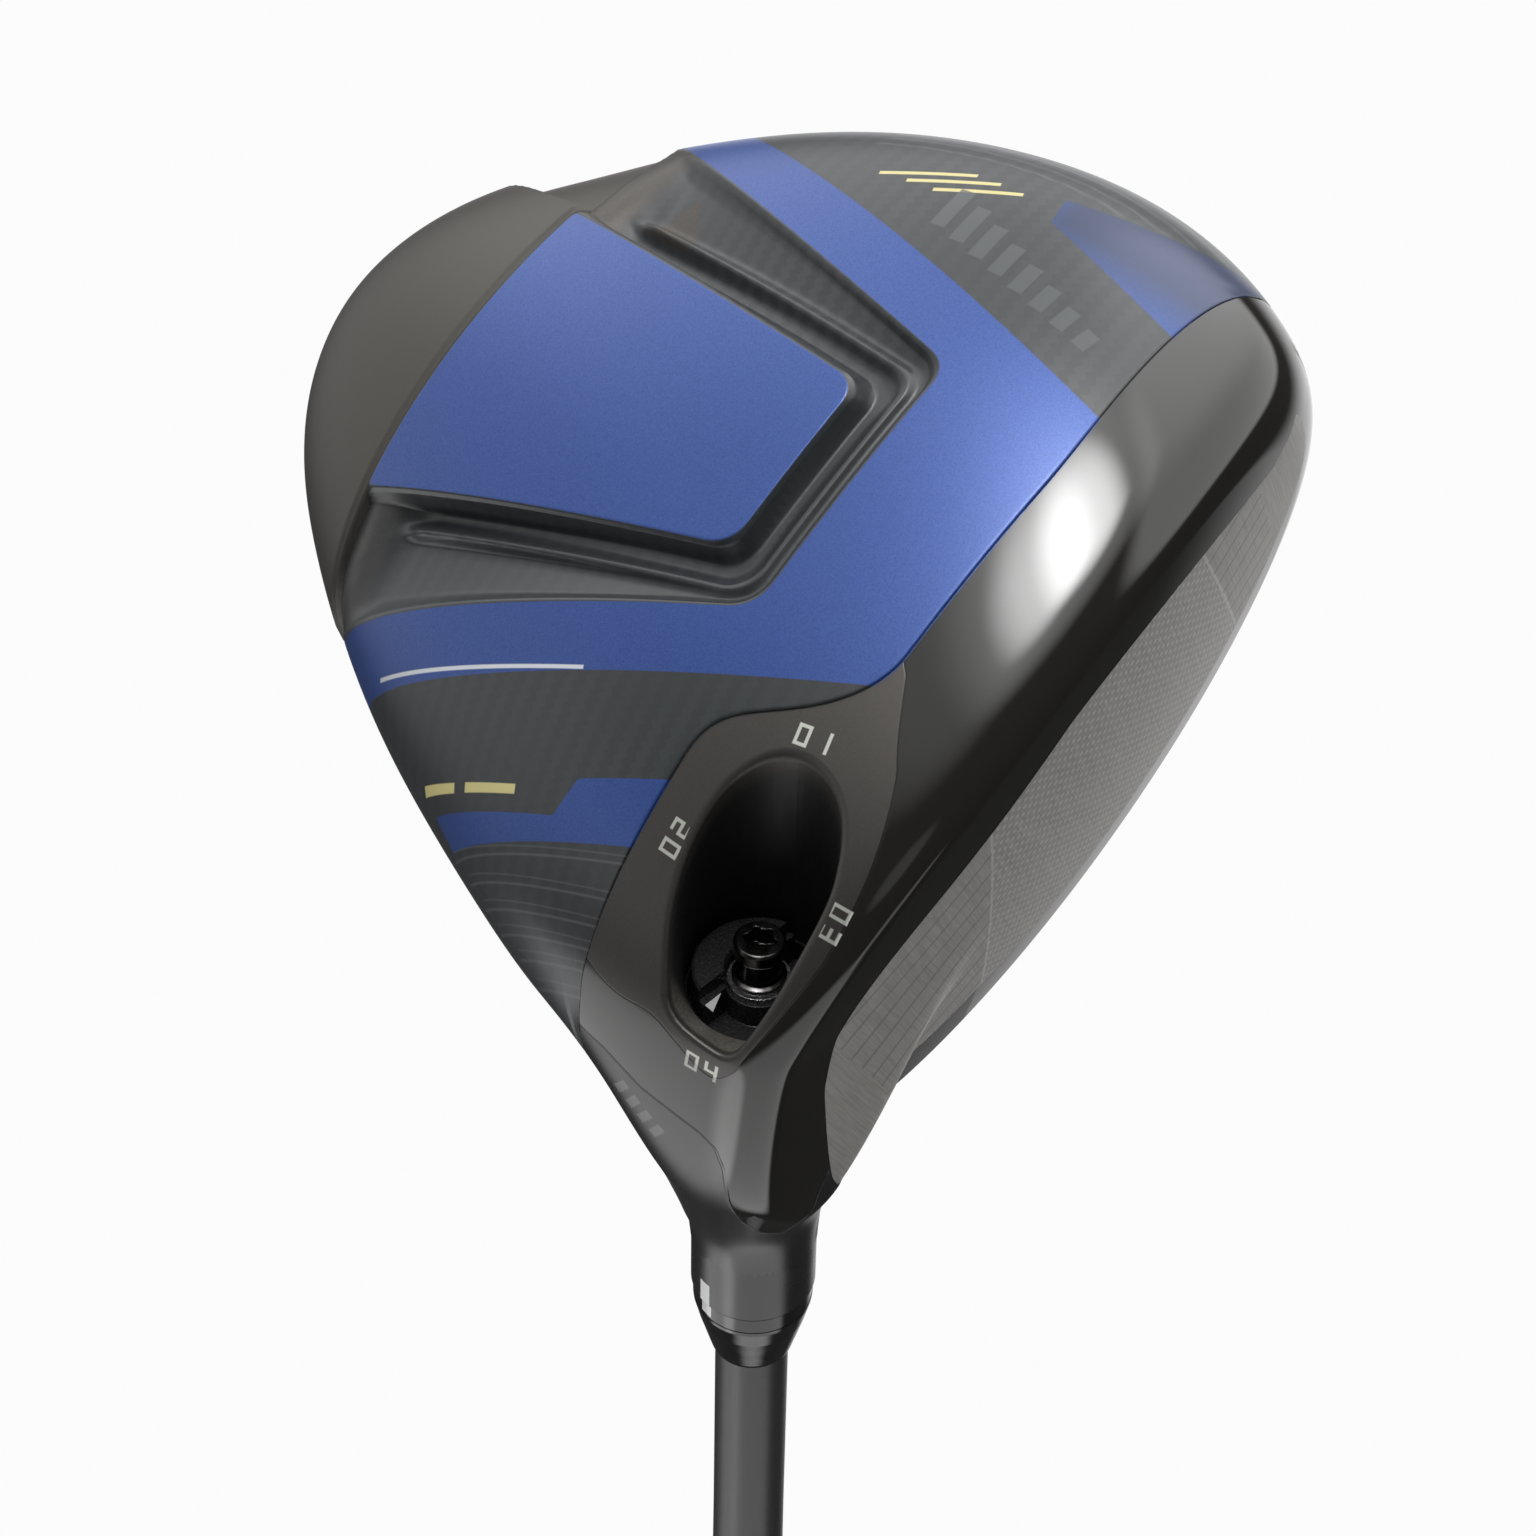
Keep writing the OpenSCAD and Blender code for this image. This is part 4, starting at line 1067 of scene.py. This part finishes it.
def front_shell(base, rounded, normals, faces, face_gap):
    """The shell round the face plate, open at the neck and the recess.

    Returns points and normals of the recess edge."""
    heelward, forward, up = to_axis(base)
    radius = np.hypot(heelward, forward)
    neck_cut = np.where(radius < 12, 66.0 - up, 20.0)
    plane_x, plane_y = recess_plane(heelward, forward, up)
    near_recess = (np.hypot(plane_x, plane_y) < 60) & (base[..., 2] < 34)
    satin, lip = (np.where(near_recess, outline_gap(plane_x, plane_y, outline), 50.0)
                  for outline in (SATIN, LIP))
    neck = np.where(radius < 30, neck_gap(heelward, forward, up), -9.0)
    points, normals, faces, values = clip(
        rounded.reshape(-1, 3), normals.reshape(-1, 3), faces,
        np.minimum(face_gap, neck_cut).reshape(-1), [v.reshape(-1) for v in (satin, neck, lip)])
    points, normals, faces, (satin, neck, lip) = clip(
        points, normals, faces, values[2] - LIP_W, values)
    edge = next(loop for loop in boundary_loops(faces)
                if np.abs(lip[loop] - LIP_W).max() < 0.05)
    lip_points, lip_normals = points[edge], normals[edge]

    # the last of the flare is laid exactly on its profile and fades into the tube
    heelward, forward, up = to_axis(points)
    radius = np.hypot(heelward, forward)
    gaps = np.concatenate([np.linspace(0, 1, 201), np.linspace(1.02, 14, 400)])
    for i in np.where((up > 50) & (radius < 13))[0]:
        heights = flare(gaps, heel_share(heelward[i], forward[i], radius[i]))
        gap = float(np.interp(up[i], heights[::-1], gaps[::-1]))
        weight = float(step(50.0, 54.0, up[i]))
        on_profile = NECK_R + gap * (1 - float(step(59.0, 66.0, up[i]))) + 0.07
        scale = ((1 - weight) * radius[i] + weight * on_profile) / radius[i]
        points[i] = from_axis(heelward[i] * scale, forward[i] * scale, up[i])
    add_shell("front_shell", points, normals, faces, 1.4, "front_gloss",
              "front_body", "gloss_black_titanium", satin=satin, neckp=neck)
    return lip_points, lip_normals


def recess_wall(lip_points, lip_normals):
    """Rolls over from the lip and runs down to the seat of the dial."""
    x, y = recess_plane(*to_axis(lip_points))
    tiny = 0.05
    slope_x = outline_gap(x + tiny, y, LIP) - outline_gap(x - tiny, y, LIP)
    slope_y = outline_gap(x, y + tiny, LIP) - outline_gap(x, y - tiny, LIP)
    reach = 9  # points averaged to either side
    slope_x, slope_y = (sum(np.roll(slope / (2 * tiny), i) for i in range(-reach, reach + 1))
                        / (2 * reach + 1) for slope in (slope_x, slope_y))
    axes = np.stack([HEELWARD, FORWARD, UPSHAFT])
    inward = -(slope_x[:, None] * (PLANE_X @ axes) + slope_y[:, None] * (PLANE_Y @ axes))
    inward = unit(inward - lip_normals * np.sum(inward * lip_normals, -1, keepdims=True))
    corner = lip_points + inward * LIP_W
    heelward, forward, _ = to_axis(corner)
    angle = np.arctan2(forward, heelward)
    seat = from_axis(SEAT_R * np.cos(angle), SEAT_R * np.sin(angle),
                     np.full(len(angle), SEAT_UP))
    length = np.linalg.norm(seat - corner, axis=1)
    down = (seat - corner) / length[:, None]
    roll_end = np.minimum(LIP_W, 0.4 * length)
    rows, depths = [], []
    for t in np.linspace(0, 1, 8):
        rows.append((1 - t) ** 2 * lip_points + 2 * t * (1 - t) * corner
                    + t * t * (corner + down * roll_end[:, None]))
        depths.append(np.full(len(length), t * 1.4 - 0.2))
    for t in np.linspace(0, 1, 20)[1:]:
        drop = roll_end + (length - roll_end) * t
        rows.append(corner + down * drop[:, None])
        depths.append(0.2 + drop)
    points, depth = np.stack(rows, 1), np.stack(depths, 1)
    around = np.roll(points, -2, 0) - np.roll(points, 2, 0)
    normals = unit(np.cross(around, np.gradient(points, axis=1)))
    if np.sum(normals[:, 0] * lip_normals) < 0:
        normals = -normals
    normals[:, 0] = lip_normals
    length = length[:, None]
    satin = np.maximum(step(3.4, 1.2, depth), step(10.5, 8.0, length))
    ledge = step(9.5, 7.5, length) * step(1.2, 2.2, depth)
    faces = wind_outward(points, normals, grid_faces(*depth.shape, wrap=True))
    add_shell("recess_wall", points, normals, faces, 0.5, "port_black",
              "screw_port", "port_black", sat=satin, ledge=ledge)


def face_skin(base, normals, faces, face_gap):
    """The face plate, 0.03 mm clear of the front shell."""
    points, normals, faces, _ = clip(base.reshape(-1, 3), normals.reshape(-1, 3), faces,
                                     (-face_gap - 0.03).reshape(-1), ())
    add_shell("face_skin", points, normals, faces, 2.6, "face_brushed",
              "face_plate", "face_titanium")


# ---- crown and rear weight
def crown_shell():
    low = crown_seam(TURNS)[:, None]
    share = np.linspace(0, 1, CROWN_ROWS)[None] ** 1.15
    base, normals, from_start, _ = lay(TURNS[:, None], low + (89.0 - low) * share)
    points = base - normals * curl(from_start)[..., None]
    points = np.vstack([points.reshape(-1, 3), head_point(np.array(0.0), np.array(90.0))])
    normals = np.vstack([normals.reshape(-1, 3), [0, 0, 1.0]])
    columns, rows = len(TURNS), CROWN_ROWS
    faces = grid_faces(columns, rows, wrap=True)
    faces += [[columns * rows, i * rows + rows - 1, (i + 1) % columns * rows + rows - 1]
              for i in range(columns)]
    faces = wind_outward(points, normals, faces)
    # two slanted aiming strokes
    x, y = points[:, 0], points[:, 1]
    across = np.abs(np.abs(x) - 4.5 - 0.55 * (y + 24)) - 0.45
    aim = step(0.12, -0.12, np.maximum(across, np.abs(y + 21.0) - 3.0))
    add_shell("crown_shell", points, normals, faces, 1.1, "crown_gloss",
              "crown_panel", "crown_lacquer", aim=aim)


def weight_skin():
    turn = TURNS[TURNS > 180]
    turn = turn[(crown_seam(turn) - sole_seam(turn)) > 0.9][:, None]
    low, high = sole_seam(turn), crown_seam(turn)
    share = (1 - np.cos(np.pi * np.linspace(0, 1, WEIGHT_ROWS)[None])) / 2
    base, normals, from_start, to_end = lay(turn, low + (high - low) * share)
    edge = np.minimum(from_start, to_end)
    x, y = base[..., 0], base[..., 1]
    sunk = 1.5 * step(22.4, 24.9, x) * step(50.0, 27.0, x) * step(-70.0, -84.0, y)
    proud = 0.35 * step(0.3, 1.2, edge) * np.clip(1 - sunk, 0, 1)
    points = base - normals * (curl(edge) - proud + sunk)[..., None]
    faces = wind_outward(points, normals, grid_faces(len(turn), WEIGHT_ROWS))
    add_shell("weight_skin", points, normals, faces, 3.8, "weight_satin",
              "rear_weight", "weight_satin")


sole_shell()
base, rounded, normals, faces, face_gap = front_surface()
recess_wall(*front_shell(base, rounded, normals, faces, face_gap))
face_skin(base, normals, faces, face_gap)
crown_shell()
weight_skin()

# ---------------------------------------------------------------- CAD pieces that stay
CAD_PAINT = {
    "bond_ring": "titanium", "sound_ribs": "titanium", "hosel": "hosel_satin",
    "adaptor_sleeve": "sleeve_metal", "tip_epoxy": "epoxy", "tip_plug": "port_black",
    "ferrule": "ferrule_black", "shaft": "shaft_paint", "grip_tape": "tape",
    "grip": "grip_rubber", "grip_cap": "grip_rubber", "dial_ring": "dial_black",
    "dial_pointer": "glowing_white_paint", "retaining_screw": "screw_dark", "screw_washer": "steel"}
for piece_name, paint in CAD_PAINT.items():
    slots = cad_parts[piece_name].data.materials
    slots.clear()
    slots.append(MATERIAL[paint])


# ---------------------------------------------------------------- floor
def stage_floor():
    """White disc that glows far out and can't be seen from below."""
    radius, level, sides = 9, -0.0015, 96
    mesh = bpy.data.meshes.new("floor")
    angles = [2 * math.pi * k / sides for k in range(sides)]
    rim = [(radius * math.cos(angle), radius * math.sin(angle), level) for angle in angles]
    mesh.from_pydata([(0, 0, level)] + rim, [],
                     [(0, 1 + k, 1 + (k + 1) % sides) for k in range(sides)])
    disc = bpy.data.objects.new("floor", mesh)
    bpy.context.scene.collection.objects.link(disc)
    paint = bpy.data.materials.new("floor")
    start_tree(paint)
    geometry = node("ShaderNodeNewGeometry").outputs
    matt = shader("ShaderNodeBsdfDiffuse", (0.86, 0.86, 0.855))
    glow = shader("ShaderNodeEmission", (1, 1, 1), 0.95)
    # distance from the origin at which the glow takes over, metres
    far = ramp(vector("LENGTH", geometry["Position"]), 0.4, 2.6, low=0.25, kind="SMOOTHSTEP")
    top = shader("ShaderNodeMixShader", far, matt, glow)
    clear = shader("ShaderNodeBsdfTransparent")
    surface = shader("ShaderNodeMixShader", geometry["Backfacing"], top, clear)
    fill(node("ShaderNodeOutputMaterial"), surface)
    mesh.materials.append(paint)
    for ray in ("glossy", "diffuse", "shadow", "transmission"):
        setattr(disc, f"visible_{ray}", False)


stage_floor()

# ---------------------------------------------------------------- camera, below the sole
scene = bpy.context.scene
CAMERA_PLACE = np.array([-53.71, 195.71, -399.47]) / 1000
VIEW = unit(np.array([0.0772, -0.4766, 0.8757]))
RIGHT = np.array([0.598, 0.7249, 0.3419])
RIGHT = unit(RIGHT - VIEW * (RIGHT @ VIEW))
DOWN = np.cross(VIEW, RIGHT)
lens = bpy.data.cameras.new("camera")
camera = bpy.data.objects.new("camera", lens)
scene.collection.objects.link(camera)
scene.camera = camera
camera.matrix_world = Matrix([*zip(RIGHT, -DOWN, -VIEW, CAMERA_PLACE), (0, 0, 0, 1)])
lens.sensor_width = 36.0
lens.lens = 102.73
lens.clip_start, lens.clip_end = 0.01, 50

# ---------------------------------------------------------------- world
# soft lights round the head: azimuth to the right of the camera, elevation above it,
# half angles of the full core and of the outer edge, brightness
ROOM_LIGHTS = [
    (-1, 43.5, 1, 10, 14.0), (-9, 40, 1, 10, 9.0), (-3, 43, 10, 22, 2.0), (-24, 38, 6, 26, 0.9),
    (75, 42, 37, 44, 2.0), (0, 90, 22, 52, 1.5), (-100, 34, 20, 52, 0.85), (165, 12, 12, 34, 1.0),
    (0, -90, 34, 42, 1.2), (-112, -42, 20, 26, 1.5), (-62, -6, 6, 20, 0.7), (66, -45, 7, 10, 1.0),
    (-5, -6, 4, 10, 0.45)]
ROOM_LEVEL, BACKDROP_LEVEL = 0.04, 0.97


def from_camera(azimuth, elevation):
    """Direction from the head, as seen from the camera."""
    turn, lift = math.radians(azimuth), math.radians(elevation)
    return (math.cos(lift) * math.sin(turn) * RIGHT - math.sin(lift) * DOWN
            - math.cos(lift) * math.cos(turn) * VIEW)


world = bpy.data.worlds.new("studio")
scene.world = world
start_tree(world)
background = node("ShaderNodeBackground")
fill(node("ShaderNodeOutputWorld"), background.outputs[0])
direction = node("ShaderNodeTexCoord").outputs["Generated"]
room = ROOM_LEVEL
for azimuth, elevation, core, edge, level in ROOM_LIGHTS:
    centre = tuple(unit(from_camera(azimuth, elevation)))
    lobe = ramp(vector("DOT_PRODUCT", direction, centre), math.cos(math.radians(edge)),
                math.cos(math.radians(core)), kind="SMOOTHSTEP")
    room = mul_add(lobe, level, room)
seen = node("ShaderNodeLightPath").outputs["Is Camera Ray"]
fill(background, (1.0, 1.0, 1.0), blend(seen, room, BACKDROP_LEVEL))

# ---------------------------------------------------------------- lamp and view
LAMP_PLACE, LAMP_TARGET = Vector((0.2, -0.6, 1.6)), Vector((0, 0, 0.3))
light = bpy.data.lights.new("top", "AREA")
light.energy = 16
light.shape = "RECTANGLE"
light.size = light.size_y = 1.2
lamp = bpy.data.objects.new("top", light)
scene.collection.objects.link(lamp)
lamp.location = LAMP_PLACE
lamp.rotation_mode = "QUATERNION"
lamp.rotation_quaternion = (LAMP_PLACE - LAMP_TARGET).to_track_quat("Z", "Y")
lamp.visible_glossy = False

scene.view_settings.view_transform = "Standard"
scene.view_settings.look = "None"
